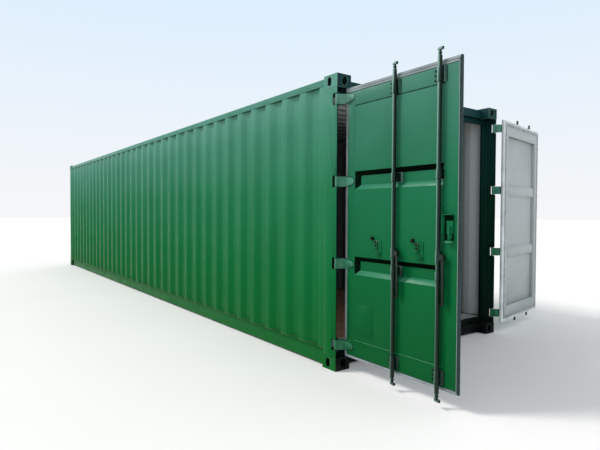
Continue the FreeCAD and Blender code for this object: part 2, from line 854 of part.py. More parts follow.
def leaf_panel():
    """A flat sheet with two pressed horizontal troughs."""
    left = f"({STILE} + stile_width)"
    right = f"({STILE_END} - free_stile)"
    low = f"({STEEL_LOW} + rail_height)"
    high = f"({STEEL_HIGH} - rail_height)"
    skin = box("leaf_skin", (f"{right} - {left}", "sheet", f"{high} - {low}"), (left, LEAF_FACE, low))
    solids = [skin]
    voids = []
    for name, foot in (("low_trough", "low_recess"), ("high_trough", "high_recess")):
        start = f"{left} + recess_margin"
        end = f"{right} - recess_margin"
        top = f"{foot} + recess_height"
        solids.append(
            frustum(
                f"{name}_outside",
                (f"{start} - sheet", f"{foot} - sheet"),
                (f"{end} + sheet", f"{top} + sheet"),
                LEAF_FACE,
                f"{LEAF_FACE} + recess_depth + sheet",
                "recess_slope",
            )
        )
        voids.append(
            frustum(
                f"{name}_inside",
                (start, foot),
                (end, top),
                LEAF_FACE,
                f"{LEAF_FACE} + recess_depth",
                "recess_slope",
            )
        )
    return [cut("leaf_panel", fuse("leaf_pressing", solids), voids)]


def leaf_gasket():
    """The rubber ring around the leaf, as one plain frame."""
    near = f"({LEAF_FACE} + gasket_step)"
    thick = f"(leaf_thick - gasket_step + {SEAL_PROUD})"
    ring = box(
        "gasket_outer",
        (f"{LEAF_END} - gasket_edge", thick, f"{GASKET_HIGH} - {GASKET_LOW}"),
        ("gasket_edge", near, GASKET_LOW),
    )
    window = box(
        "gasket_window",
        (f"{STILE_END} - {STILE}", f"{thick} + {2 * THROUGH}", f"{STEEL_HIGH} - {STEEL_LOW}"),
        (STILE, f"{near} - {THROUGH}", STEEL_LOW),
    )
    return [cut("leaf_gasket", ring, [window])]




def hinge_blades():
    """Blades that step from the pins to the leaf's outer face and taper along it."""
    blades = []
    for number, level in enumerate(hinge_levels(), start=1):
        name = f"blade_{number}"
        plan = [
            (f"-{KNUCKLE_BLEND}", "0"),
            (f"-{KNUCKLE_BLEND}", "blade_bend"),
            ("knuckle_radius", LEAF_FACE),
            ("blade_reach", LEAF_FACE),
            ("blade_reach", f"{LEAF_FACE} - blade_thick"),
            ("blade_root", f"{LEAF_FACE} - 2 * blade_thick"),
            ("blade_elbow", "blade_bend"),
            ("knuckle_radius", "0"),
        ]
        tall = "2 * knuckle_half"
        leg = prism(f"{name}_leg", [plan], tall, ("0", "0", f"{level} - knuckle_half"))
        knuckle = cylinder(f"{name}_knuckle", "knuckle_radius", tall, ("0", "0", f"{level} - knuckle_half"))
        face = [
            ("-knuckle_radius", f"{level} - knuckle_half"),
            ("blade_root", f"{level} - knuckle_half"),
            ("blade_reach - knuckle_radius", f"{level} - blade_shoulder_half"),
            ("blade_reach", f"{level} - blade_tip_half"),
            ("blade_reach", f"{level} + blade_tip_half"),
            ("blade_reach - knuckle_radius", f"{level} + blade_shoulder_half"),
            ("blade_root", f"{level} + knuckle_half"),
            ("-knuckle_radius", f"{level} + knuckle_half"),
        ]
        room = ("0", "-2 * knuckle_radius", "0")
        taper = prism(f"{name}_taper", [face], f"{LEAF_FACE} + 4 * knuckle_radius", room, "XZ_Plane")
        shaped = common(f"{name}_shaped", fuse(f"{name}_whole", [leg, knuckle]), taper)
        bore = cylinder(f"{name}_bore", "pin_radius + pin_play", tall, ("0", "0", f"{level} - knuckle_half"))
        blades.append(cut(name, shaped, [bore]))
    return blades


ROD_LINE = "(leaf_offset - rod_standoff)"


def rod_brackets():
    """Bearings that hold the rods: guides on the rails and stand-offs in the two troughs."""
    brackets = []
    trough = f"({LEAF_FACE} + recess_depth)"
    middle = "(recess_height - bracket_height) / 2"
    front = box("gear_room", (LEAF_END, LEAF_FACE, "height"), ("0", "0", "0"))
    troughs = [doc.getObject(f"{level}_trough_inside") for level in ("low", "high")]
    room = fuse("bracket_room", [front, *troughs])
    for rod in ("outer_rod", "inner_rod"):
        for place, foot, tall, seat in (
            ("low_guide", "low_guide", "guide_height", LEAF_FACE),
            ("low_stay", f"low_recess + {middle}", "bracket_height", trough),
            ("high_stay", f"high_recess + {middle}", "bracket_height", trough),
            ("high_guide", "high_guide", "guide_height", LEAF_FACE),
        ):
            name = f"{rod}_{place}"
            plate = box(
                f"{name}_plate",
                ("2 * bracket_half", "bracket_plate", tall),
                (f"{rod} - bracket_half", f"{seat} - bracket_plate", foot),
            )
            web = box(
                f"{name}_web",
                ("2 * rod_radius", f"{seat} - {ROD_LINE}", tall),
                (f"{rod} - rod_radius", ROD_LINE, foot),
            )
            barrel = cylinder(f"{name}_barrel", "rod_radius + strap_wall", tall, (rod, ROD_LINE, foot))
            bore = cylinder(f"{name}_bore", "rod_radius + bearing_play", tall, (rod, ROD_LINE, foot))
            if seat == trough:
                flat = "2 * (recess_height / 2 - recess_slope)"
                bind(plate, "Height", flat)
                bind(plate, "Placement.Base.z", f"{foot} + (bracket_height - {flat}) / 2")
            solid = fuse(f"{name}_solid", [plate, web, barrel])
            if seat == trough:
                solid = common(f"{name}_in_trough", solid, room)
            brackets.append(cut(name, solid, [bore]))
    return brackets


def lock_rod():
    """A round bar about its own axis, with a cam plate on a neck at each end and a forked hub."""
    shoulder = "(rod_end + neck_length)"
    parts = [cylinder("rod_bar", "rod_radius", f"height - 2 * {shoulder}", ("0", "0", shoulder))]
    for end, foot, cam, bulge in (
        ("low", "rod_end", "rod_end", "bulge_level"),
        (
            "high",
            f"height - {shoulder}",
            "height - rod_end - lobe_height",
            "height - bulge_level - bulge_height",
        ),
    ):
        near = "lobe_tail - lobe_width / 2"
        far = "lobe_reach - lobe_width / 2"
        parts += [
            cylinder(f"{end}_neck", "neck_radius", "neck_length", ("0", "0", foot)),
            cylinder(f"{end}_bulge", "bulge_radius", "bulge_height", ("0", "0", bulge)),
            box(
                f"{end}_cam",
                (f"{near} + {far}", "lobe_width", "lobe_height"),
                (f"-({near})", "-lobe_width / 2", cam),
            ),
            cylinder(f"{end}_cam_tail", "lobe_width / 2", "lobe_height", (f"-({near})", "0", cam)),
            cylinder(f"{end}_cam_nose", "lobe_width / 2", "lobe_height", (far, "0", cam)),
        ]
    hub_foot = ("0", "0", "handle_level - hub_height / 2")
    parts.append(cylinder("rod_hub", "hub_radius", "hub_height", hub_foot))
    slit = "(handle_thick / 2 + fork_gap)"
    for side, near in (("outer", f"-{slit} - fork_wall"), ("inner", slit)):
        ear = ("lug_arm", "fork_wall", "2 * fork_half")
        parts.append(box(f"{side}_ear", ear, ("0", near, "handle_level - fork_half")))
        ear_foot = ("lug_arm", near, "handle_level")
        parts.append(cylinder(f"{side}_ear_end", "fork_half", "fork_wall", ear_foot, "y"))
    pin_foot = ("lug_arm", f"-{slit} - fork_wall", "handle_level")
    parts.append(cylinder("fork_pin", "handle_pin", f"2 * ({slit} + fork_wall)", pin_foot, "y"))
    return fuse("lock_rod", parts)


def handle():
    """A flat bar that hangs from the fork, drawn from the rod's axis."""
    near = "-handle_thick / 2"
    tip_level = "handle_level - handle_length + handle_width / 2"
    bar = box(
        "handle_bar",
        ("handle_width", "handle_thick", "handle_length - handle_width / 2"),
        ("lug_arm - handle_width / 2", near, tip_level),
    )
    eye_foot = ("lug_arm", near, "handle_level")
    eye = cylinder("handle_eye_end", "handle_eye", "handle_thick", eye_foot, "y")
    tip = cylinder("handle_tip", "handle_width / 2", "handle_thick", ("lug_arm", near, tip_level), "y")
    bore = cylinder("handle_bore", "handle_pin + pin_play", "handle_thick", eye_foot, "y")
    return cut("handle", fuse("handle_solid", [bar, eye, tip]), [bore])


def handle_catches():
    """Brackets on the hinge side of each rod: a shelf that carries the locked handle and a flap over it."""
    catches = []
    for rod in ("outer_rod", "inner_rod"):
        name = f"{rod}_catch"
        left = f"{rod} - catch_offset - catch_width / 2"
        near = f"{LEAF_FACE} - catch_reach"
        plate = box(
            f"{name}_plate",
            ("catch_width", "catch_plate", "catch_high - catch_low"),
            (left, f"{LEAF_FACE} - catch_plate", "catch_low"),
        )
        shelf_level = "handle_level - handle_width / 2 - catch_play - catch_shelf"
        shelf_size = ("catch_width", "catch_reach", "catch_shelf")
        shelf = box(f"{name}_shelf", shelf_size, (left, near, shelf_level))
        flap_level = "handle_level + handle_width / 2 + catch_play"
        flap_size = ("catch_width / 2", "catch_reach", "catch_shelf")
        flap = box(f"{name}_flap", flap_size, (left, near, flap_level))
        catches.append(fuse(name, [plate, shelf, flap]))
    return catches


def blank_plate():
    size = ("plate_width", "plate_thick", "plate_height")
    return [box("data_plate", size, ("plate_from", f"{LEAF_FACE} - plate_thick", "plate_low"))]


def lock_staple():
    """A stop plate near the free edge with a bent bar for a padlock and a flange above it."""
    near = f"{LEAF_FACE} - staple_plate"
    out = f"{LEAF_FACE} - staple_reach"
    top = "(staple_low + staple_height)"
    plate_size = ("staple_width", "staple_plate", "staple_height")
    plate = box("staple_base", plate_size, ("staple_from", near, "staple_low"))
    hood_size = ("staple_width", "staple_reach", "staple_plate")
    hood = box("staple_flange", hood_size, ("staple_from", out, f"{top} - staple_plate"))
    side_size = ("staple_plate", "staple_reach", "staple_hood")
    side = box("staple_side", side_size, ("staple_from", out, f"{top} - staple_hood"))
    low = "(staple_low + staple_loop_low)"
    high = "(staple_low + staple_loop_high)"
    bar = "2 * staple_bar"
    loop = [
        (near, low),
        (out, low),
        (out, high),
        (near, high),
        (near, f"{high} - {bar}"),
        (f"{out} + {bar}", f"{high} - {bar}"),
        (f"{out} + {bar}", f"{low} + {bar}"),
        (near, f"{low} + {bar}"),
    ]
    bow = prism("staple_bow", [loop], bar, ("staple_from + staple_loop_from", "0", "0"), "YZ_Plane")
    return [fuse("staple", [plate, hood, side, bow])]


def left_leaf(name, things):
    """A sub-part of the left leaf, open by a quarter turn."""
    put(node(name, things), (f"{DOOR_END} - pin_depth", PIN_SIDE, "0"))


def right_leaf(name, things):
    """The same sub-part of the right leaf, which is the left one's mirror image, opened further."""
    images = [mirrored(thing, (0, 1, 0)) for thing in things]
    place = (f"{DOOR_END} - pin_depth", f"-{PIN_SIDE}", "0")
    put(node(name, images), place, ((0, 0, 1), "right_leaf_turn"))


def doors():
    for suffix, things in (
        ("door_frame", leaf_frame()),
        ("door_panel", leaf_panel()),
        ("door_gasket", leaf_gasket()),
        ("hinge_blades", hinge_blades()),
        ("rod_brackets", rod_brackets()),
        ("handle_catches", handle_catches()),
    ):
        left_leaf(f"left_{suffix}", things)
        right_leaf(f"right_{suffix}", things)
    for suffix, plural, shape in (("lock_rod", "lock_rods", lock_rod()), ("handle", "handles", handle())):
        fixed = []
        for rod in ("outer_rod", "inner_rod"):
            side = rod.split("_")[0]
            turn = ((0, 0, -1), "rest_turn")
            on_left = node(f"left_{side}_{suffix}", [shape])
            put(on_left, (f"{DOOR_END} - pin_depth + {rod}", f"{PIN_SIDE} + {ROD_LINE}", "0"), turn)
            on_leaf = doc.addObject("Part::Compound", f"{side}_{suffix}_on_leaf")
            on_leaf.Links = [shape]
            fixed.append(put(on_leaf, (rod, ROD_LINE, "0"), turn))
        right_leaf(f"right_{plural}", fixed)
    left_leaf("left_blank_plate", blank_plate())
    left_leaf("left_lock_staple", lock_staple())


corner_castings()
corner_posts()
side_rails()
end_frames()
walls()
floor()
cam_keepers()
hinge_hardware()
doors()
doc.recompute()

faults = [thing.Name for thing in doc.Objects if {"Invalid", "Error"} & set(thing.State)]
for name, thing in nodes.items():
    shape = thing.Shape
    if shape.isNull() or not shape.isValid() or not shape.Solids:
        faults.append(name)
if faults:
    raise RuntimeError(f"these objects failed: {faults}")

os.makedirs("parts", exist_ok=True)
for name, thing in nodes.items():
    thing.Shape.exportStep(os.path.join("parts", f"{name}.step"))
    print(f"{name}: {len(thing.Shape.Solids)} solids, {thing.Shape.Volume / 1e9:.5f} m3")
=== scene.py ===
import json
import math

import bmesh
import bpy
from mathutils import Matrix, Vector


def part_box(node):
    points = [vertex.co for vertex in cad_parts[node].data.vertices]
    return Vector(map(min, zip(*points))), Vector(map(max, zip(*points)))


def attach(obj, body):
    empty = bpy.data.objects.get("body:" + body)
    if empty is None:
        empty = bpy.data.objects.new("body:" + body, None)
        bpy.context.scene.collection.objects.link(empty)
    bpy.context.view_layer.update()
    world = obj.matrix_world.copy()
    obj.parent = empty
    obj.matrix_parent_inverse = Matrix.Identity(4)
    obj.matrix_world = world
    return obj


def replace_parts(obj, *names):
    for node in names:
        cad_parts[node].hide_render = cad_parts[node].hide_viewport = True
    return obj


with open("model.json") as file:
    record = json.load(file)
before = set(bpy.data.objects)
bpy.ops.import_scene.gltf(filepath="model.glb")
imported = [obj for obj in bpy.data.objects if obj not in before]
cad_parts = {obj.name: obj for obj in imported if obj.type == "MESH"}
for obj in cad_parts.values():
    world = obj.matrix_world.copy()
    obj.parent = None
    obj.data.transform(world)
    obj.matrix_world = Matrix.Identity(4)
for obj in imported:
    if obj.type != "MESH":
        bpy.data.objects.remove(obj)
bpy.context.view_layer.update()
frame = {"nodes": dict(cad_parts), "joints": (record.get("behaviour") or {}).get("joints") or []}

# ---- places, in metres, read from the frame ----
castings_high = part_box("bottom_corner_castings")[1]
HALF = castings_high.x
SIDE = castings_high.y
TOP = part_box("top_corner_castings")[1].z
pins_low, pins_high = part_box("hinge_pins")
PIN_X = (pins_low.x + pins_high.x) / 2
PIN_Y = (pins_high.y - pins_low.y) / 2 - (pins_high.x - pins_low.x) / 2
frame_low, frame_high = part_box("left_door_frame")
LEAF_OUT = frame_low.y + PIN_Y
LEAF_IN = frame_high.y + PIN_Y
STEEL = (frame_low.x - PIN_X, frame_high.x - PIN_X)
STEEL_Z = (frame_low.z, frame_high.z)
panel_low, panel_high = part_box("left_door_panel")
PANEL = (panel_low.x - PIN_X, panel_high.x - PIN_X)
PANEL_Z = (panel_low.z, panel_high.z)
seal_low, seal_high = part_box("left_door_gasket")
SEAL = (seal_low.x - PIN_X, seal_high.x - PIN_X)
SEAL_Z = (seal_low.z, seal_high.z)
JOINTS = {joint["name"]: joint for joint in frame["joints"]}
RODS = {}
for side in ("outer", "inner"):
    RODS[side] = JOINTS[f"left_{side}_rod_turn"]["pos_m"][0] - PIN_X

# From a leaf's own frame, x across it from the hinge axis and y inward, to the row frame.
LEFT = Matrix.Translation((PIN_X, -PIN_Y, 0))
SWAP = Matrix(((0, 1, 0, 0), (1, 0, 0, 0), (0, 0, 1, 0), (0, 0, 0, 1)))
RIGHT_TURN = math.radians(10)  # how far past straight out to its side the right leaf stands at rest
RIGHT = Matrix.Translation((PIN_X, PIN_Y, 0)) @ Matrix.Rotation(RIGHT_TURN, 4, "Z") @ SWAP
LEAVES = (("left", LEFT, "left_door"), ("right", RIGHT, "right_door"))


# ---- materials ----
def linear(rgb):
    """A display colour, 0 to 255, as linear RGBA."""
    return tuple(((c / 255 + 0.055) / 1.055) ** 2.4 if c > 10 else c / 255 / 12.92 for c in rgb) + (1.0,)


def shaded(colour, share):
    return tuple(c * share for c in colour[:3]) + (1.0,)


RUST = linear((104, 62, 34))


class Graph:
    """A material's node tree with short calls for the nodes that the finishes share."""

    def __init__(self, name):
        self.material = bpy.data.materials.new(name)
        self.material.use_nodes = True
        self.tree = self.material.node_tree
        self.shader = self.tree.nodes["Principled BSDF"]
        places = self.node("ShaderNodeTexCoord").outputs
        self.coords = places["Object"]
        self.normal = places["Normal"]

    def node(self, kind, **values):
        made = self.tree.nodes.new(kind)
        for key, value in values.items():
            setattr(made, key, value)
        return made

    def link(self, source, target):
        self.tree.links.new(source, target)
        return target

    def feed(self, made, values):
        """Links or sets the inputs of a node from (socket, value) pairs."""
        for socket, value in values:
            if isinstance(value, bpy.types.NodeSocket):
                self.link(value, made.inputs[socket])
            else:
                made.inputs[socket].default_value = value

    def stretched(self, scale):
        mapping = self.node("ShaderNodeMapping")
        mapping.inputs["Scale"].default_value = scale
        self.link(self.coords, mapping.inputs["Vector"])
        return mapping.outputs["Vector"]

    def noise(self, scale, detail=4.0, rough=0.5, stretch=(1, 1, 1)):
        made = self.node("ShaderNodeTexNoise")
        made.inputs["Scale"].default_value = scale
        made.inputs["Detail"].default_value = detail
        made.inputs["Roughness"].default_value = rough
        self.link(self.stretched(stretch), made.inputs["Vector"])
        return made.outputs["Fac"]

    def span(self, source, low, high, to_low=0.0, to_high=1.0, kind="SMOOTHSTEP"):
        made = self.node("ShaderNodeMapRange", interpolation_type=kind)
        self.feed(made, (("From Min", low), ("From Max", high), ("To Min", to_low), ("To Max", to_high)))
        self.link(source, made.inputs["Value"])
        return made.outputs["Result"]

    def mix(self, share, one, other, kind="MIX"):
        made = self.node("ShaderNodeMix", data_type="RGBA", blend_type=kind)
        self.feed(made, ((0, share), (6, one), (7, other)))
        return made.outputs[2]

    def times(self, one, other):
        made = self.node("ShaderNodeMath", operation="MULTIPLY")
        self.feed(made, enumerate((one, other)))
        return made.outputs[0]

    def ramp(self, source, stops):
        made = self.node("ShaderNodeValToRGB")
        band = made.color_ramp
        while len(band.elements) < len(stops):
            band.elements.new(0.5)
        for element, (place, colour) in zip(band.elements, stops):
            element.position = place
            element.color = colour
        self.link(source, made.inputs["Fac"])
        return made.outputs["Color"]

    def part(self, source, axis):
        made = self.node("ShaderNodeSeparateXYZ")
        self.link(source, made.inputs[0])
        return made.outputs[axis]

    def facing(self, axis):
        """How far a face looks along one of its object's axes, from -1 to 1."""
        return self.part(self.normal, axis)

    def along(self, axis):
        """The place along one of the object's axes, in metres."""
        return self.part(self.coords, axis)

    def bump(self, layers):
        """Adds layers of (height socket, distance in metres, strength) to the normal."""
        normal = None
        for source, distance, strength in layers:
            made = self.node("ShaderNodeBump")
            made.inputs["Distance"].default_value = distance
            made.inputs["Strength"].default_value = strength
            self.link(source, made.inputs["Height"])
            if normal:
                self.link(normal, made.inputs["Normal"])
            normal = made.outputs["Normal"]
        self.link(normal, self.shader.inputs["Normal"])


# A paint's ramp of colours grows lighter upward: a painted reflection of the sky.
WALL_TOP = 2.6  # the height at which a paint's ramp of colours ends
ROAD_DUST = linear((92, 100, 78))
RAIN_FILM = (0.20, 0.26, 0.22, 1.0)


def paint(
    name,
    stops,
    rust=0.3,
    rough=0.40,
    streak=0.2,
    grime=0.2,
    gloss=0.12,
    underside_shade=0.75,
    sides=None,
    depth=None,
):
    """Weathered paint with rain streaks, road dust and rust chips. Its ramp of colours lightens upward as a
    painted reflection of the sky, and faces that look down get painted shade.

    sides holds the colour of a painted highlight on faces that look to the blind end and of painted shade on
    faces that look to the door end. depth holds the colour of painted shade deep inside and the span along
    the container over which it comes in."""
    g = Graph(name)
    tall = g.along("Z")
    # The ramp by height, lighter upward: a painted reflection of the sky.
    colour = g.ramp(g.span(tall, 0.0, WALL_TOP, kind="LINEAR"), stops)
    low = stops[0][1]
    # Painted highlight on faces that look to the blind end, growing with height, and painted shade on faces
    # that look to the door end.
    if sides:
        lit = g.times(g.span(g.facing("X"), 0.25, -0.20), g.span(tall, 0.2, 2.3, 0.35, 1.0))
        colour = g.mix(lit, colour, sides[0])
        colour = g.mix(g.span(g.facing("X"), 0.30, 0.70), colour, sides[1])
    # Painted shade that grows deeper inside the container.
    if depth:
        colour = g.mix(g.span(g.along("X"), *depth[1]), colour, depth[0])
    patch = g.span(g.noise(1.6, 3), 0.3, 0.75)
    colour = g.mix(g.times(patch, 0.16), colour, shaded(low, 0.75))
    rain = g.span(g.noise(9.0, 3, 0.55, (1, 1, 0.07)), 0.52, 0.75)
    colour = g.mix(g.times(rain, streak), colour, RAIN_FILM, "SOFT_LIGHT")
    dust = g.times(g.span(tall, 0.40, 0.02), g.span(g.noise(5.0, 6, 0.65), 0.40, 0.85))
    colour = g.mix(g.times(dust, grime), colour, ROAD_DUST)
    chips = g.times(g.span(g.noise(38.0, 6, 0.7), 0.70, 0.76), g.span(g.noise(2.3, 3), 0.50, 0.66))
    colour = g.mix(g.times(chips, rust), colour, RUST)
    # Painted shade on faces that look down.
    shade = g.span(g.facing("Z"), -0.25, -0.75)
    colour = g.mix(g.times(shade, underside_shade), colour, shaded(low, 0.12))
    g.link(colour, g.shader.inputs["Base Color"])
    g.link(g.span(g.noise(7.0, 5), 0.3, 0.8, rough - 0.08, rough + 0.12), g.shader.inputs["Roughness"])
    g.shader.inputs["Specular IOR Level"].default_value = gloss
    g.bump(((g.noise(2.2, 2), 0.010, 0.14), (g.noise(420.0, 2), 0.0006, 0.10), (chips, 0.0004, 0.5)))
    return g.material


def metal(name, colour, rough, metallic=1.0, spots=0.4):
    """Bare or worn metal with fine scratches and brown spots."""
    g = Graph(name)
    base = g.mix(g.span(g.noise(14.0, 5), 0.3, 0.7), colour, shaded(colour, 0.6))
    stain = g.span(g.noise(30.0, 6, 0.7), 0.62, 0.74)
    g.link(g.mix(g.times(stain, spots), base, RUST), g.shader.inputs["Base Color"])
    g.shader.inputs["Metallic"].default_value = metallic
    g.link(g.span(g.noise(22.0, 5), 0.25, 0.8, rough - 0.1, rough + 0.18), g.shader.inputs["Roughness"])
    g.bump(((g.noise(260.0, 3), 0.0005, 0.3),))
    return g.material


def rubber(name, colour):
    """Matt rubber with a pale bloom in patches."""
    g = Graph(name)
    base = g.mix(g.span(g.noise(6.0, 5), 0.3, 0.75), colour, shaded(colour, 1.5))
    bloom = g.span(g.noise(90.0, 4, 0.7), 0.55, 0.75)
    g.link(g.mix(g.times(bloom, 0.25), base, linear((150, 150, 146))), g.shader.inputs["Base Color"])
    g.link(g.span(g.noise(40.0, 4), 0.3, 0.7, 0.55, 0.8), g.shader.inputs["Roughness"])
    g.shader.inputs["Specular IOR Level"].default_value = 0.3
    g.bump(((g.noise(300.0, 2), 0.0004, 0.3),))
    return g.material


def plywood(name):
    """Varnished plywood, its grain along the container, scuffed by traffic."""
    g = Graph(name)
    grain = g.node("ShaderNodeTexWave", wave_type="BANDS", bands_direction="Y")
    grain.inputs["Scale"].default_value = 16.0
    grain.inputs["Distortion"].default_value = 9.0
    grain.inputs["Detail"].default_value = 4.0
    grain.inputs["Detail Scale"].default_value = 1.4
    g.link(g.stretched((0.16, 1, 1)), grain.inputs["Vector"])
    base = g.mix(g.span(grain.outputs["Fac"], 0.1, 0.9), linear((112, 82, 56)), linear((150, 116, 84)))
    fine = g.noise(120.0, 5, 0.7, (0.06, 1, 1))
    base = g.mix(g.times(g.span(fine, 0.4, 0.7), 0.35), base, linear((92, 66, 44)))
    scuff = g.span(g.noise(3.5, 7, 0.7, (0.35, 1, 1)), 0.48, 0.72)
    base = g.mix(g.times(scuff, 0.55), base, linear((150, 146, 140)))
    g.link(base, g.shader.inputs["Base Color"])
    g.link(g.span(g.noise(9.0, 5), 0.3, 0.8, 0.42, 0.7), g.shader.inputs["Roughness"])
    g.bump(((fine, 0.0008, 0.35), (grain.outputs["Fac"], 0.0006, 0.2)))
    return g.material


STOPS = {1: (0.0,), 2: (0.02, 1.0), 3: (0.02, 0.60, 1.0), 5: (0.02, 0.30, 0.60, 0.85, 1.0)}


def ramp_of(*colours):
    """Stops of a height ramp, from the ground to the roof, lighter upward as a painted reflection of the
    sky.
    """
    return tuple((place, linear(colour)) for place, colour in zip(STOPS[len(colours)], colours))


# Every paint's ramp lightens towards the roof as a painted reflection of the sky.
GREEN = paint(
    "green_paint",
    ramp_of((0, 92, 34), (0, 100, 48), (28, 110, 70), (62, 126, 102), (92, 144, 128)),
    grime=0.12,
    gloss=0.07,
)
LEAF_GREEN = paint(
    "leaf_green_paint",
    ramp_of((0, 78, 34), (0, 92, 46), (22, 104, 68), (58, 118, 96), (82, 128, 114)),
    rust=0.12,
    streak=0.12,
    grime=0.03,
    underside_shade=0.9,
    gloss=0.07,
)
# Painted highlight: a lighter green for faces and beads that look up, on the troughs, the leaf's welds and
# the plate's rivets.
HIGHLIGHT_GREEN = paint(
    "ledge_paint",
    ramp_of((16, 112, 70), (36, 122, 90), (70, 140, 120)),
    rust=0.1,
    grime=0.1,
    gloss=0.2,
)
# Painted highlight on the top castings' rounded edges and on the lock's shelf.
EDGE_HIGHLIGHT = paint(
    "edge_paint",
    ramp_of((30, 120, 74), (80, 140, 112), (140, 176, 164)),
    rust=0.1,
    grime=0.1,
    gloss=0.3,
)
# Painted shade on faces turned from the light: top castings' door ends, post grooves, header and the leaf
# panel's top seam.
SHADE_GREEN = paint(
    "dark_green_paint",
    ramp_of((0, 30, 20), (4, 48, 36), (14, 56, 58)),
    rust=0.5,
    rough=0.5,
    grime=0.3,
)
# Painted shade, near black, on the troughs' downward faces and in the staple's pocket.
RECESS_SHADE = paint("recess_paint", ramp_of((0, 18, 6), (0, 22, 10)), rust=0.2, rough=0.7, grime=0.1, gloss=0.02)
# Painted shade, near black, on the sill, its keepers and the bottom castings' door end faces and apertures.
SILL_SHADE = paint(
    "sill_paint",
    ramp_of((8, 16, 16), (20, 44, 48)),
    rust=0.6,
    rough=0.6,
    grime=0.15,
    gloss=0.05,
)
GEAR = paint(
    "gear_paint",
    ramp_of((0, 34, 18), (6, 46, 30), (22, 66, 56)),
    rust=0.4,
    rough=0.3,
    streak=0.1,
    gloss=0.3,
)
# Painted highlight on faces that look to the blind end and painted shade on those that look to the door end.
ROD = paint(
    "rod_paint",
    ramp_of((0, 40, 22), (12, 58, 42), (44, 86, 76)),
    rust=0.35,
    rough=0.32,
    streak=0.1,
    grime=0.1,
    gloss=0.25,
    sides=(linear((118, 150, 138)), linear((0, 20, 10))),
)
# Painted shade: near black for handles, forks, keepers and hinge pins that sit in shade.
HANDLE_SHADE = paint("handle_paint", ramp_of((0, 22, 10), (4, 34, 22)), rust=0.4, rough=0.3, gloss=0.3)
HINGE = paint(
    "hinge_paint",
    ramp_of((26, 104, 66), (58, 124, 96), (96, 144, 128)),
    rust=0.6,
    grime=0.1,
    gloss=0.3,
)
BLACK = paint("underbody_coating", ramp_of((16, 20, 20), (20, 24, 24)), rust=0.8, rough=0.7, underside_shade=0.2)
# depth paints shade that grows deeper inside the container.
INSIDE = paint(
    "inside_paint",
    ramp_of((164, 170, 168), (182, 186, 184)),
    rust=0.35,
    rough=0.5,
    streak=0.1,
    grime=0.15,
    gloss=0.25,
    underside_shade=0.0,
    depth=(linear((74, 78, 78)), (4.9, 3.2)),
)
LEAF_INSIDE = paint(
    "leaf_inside_paint",
    ramp_of((176, 182, 180), (178, 184, 184)),
    rust=0.2,
    rough=0.45,
    streak=0.1,
    grime=0.05,
    underside_shade=0.3,
)
GRIT = paint("rail_seam", ramp_of((70, 92, 58), (60, 110, 70)), rust=0.9, grime=0.6, gloss=0.05)
SHINY = metal("bare_steel", linear((196, 198, 200)), 0.5, metallic=0.3)
GALVANISED = metal("zinc_plated_steel", linear((164, 168, 170)), 0.38, spots=0.15)
RUBBER = rubber("grey_rubber", linear((118, 126, 128)))
# Painted shade on the left seal's channel, its free edge and the line below its lap.
SHADE_RUBBER = rubber("dark_rubber", linear((26, 48, 48)))
PALE_RUBBER = rubber("pale_rubber", linear((196, 202, 200)))
BOARDS = plywood("floor_plywood")


# ---- mesh helpers ----
def piece(name, mesh, materials, body, place=None):
    """A finished object in the row frame that rides on a body."""
    made = bpy.data.objects.new(name, mesh)
    bpy.context.scene.collection.objects.link(made)
    if place:
        mesh.transform(place)
        if place.determinant() < 0:
            mesh.flip_normals()
    for material in materials:
        mesh.materials.append(material)
    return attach(made, body)


def from_bmesh(name, bm):
    mesh = bpy.data.meshes.new(name)
    bmesh.ops.recalc_face_normals(bm, faces=bm.faces)
    bm.to_mesh(mesh)
    bm.free()
    mesh.shade_flat()
    return mesh


def apply_modifiers(made):
    bpy.context.view_layer.update()
    graph = bpy.context.evaluated_depsgraph_get()
    mesh = bpy.data.meshes.new_from_object(made.evaluated_get(graph))
    made.modifiers.clear()
    made.data = mesh


def softened(node, width, materials, body, pick=None, angle=30, edge=-1):
    """Stands for a CAD node: the same shape with its edges rounded. pick(face) gives the number of a face's
    material, and edge is that of the rounded edges."""
    bm = bmesh.new()
    bm.from_mesh(frame["nodes"][node].data)
    bmesh.ops.remove_doubles(bm, verts=bm.verts, dist=1e-6)
    bmesh.ops.dissolve_limit(bm, angle_limit=math.radians(1), verts=bm.verts, edges=bm.edges)
    if pick:
        bm.normal_update()
        for face in bm.faces:
            face.material_index = pick(face)
    mesh = bpy.data.meshes.new(f"{node}_finish")
    bm.to_mesh(mesh)
    bm.free()
    made = bpy.data.objects.new(f"{node}_finish", mesh)
    bpy.context.scene.collection.objects.link(made)
    for material in materials:
        mesh.materials.append(material)
    bevel = made.modifiers.new("edge", "BEVEL")
    bevel.width = width
    bevel.segments = 2
    bevel.limit_method = "ANGLE"
    bevel.angle_limit = math.radians(angle)
    bevel.harden_normals = True
    bevel.use_clamp_overlap = True
    bevel.material = edge
    apply_modifiers(made)
    made.data.shade_smooth()
    made.data.set_sharp_from_angle(angle=math.radians(35))
    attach(made, body)
    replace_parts(made, node)


def add_box(bm, low, high):
    made = bmesh.ops.create_cube(bm, size=1.0)["verts"]
    size = Vector(high) - Vector(low)
    middle = (Vector(high) + Vector(low)) / 2
    for vert in made:
        vert.co = Vector((vert.co.x * size.x, vert.co.y * size.y, vert.co.z * size.z)) + middle


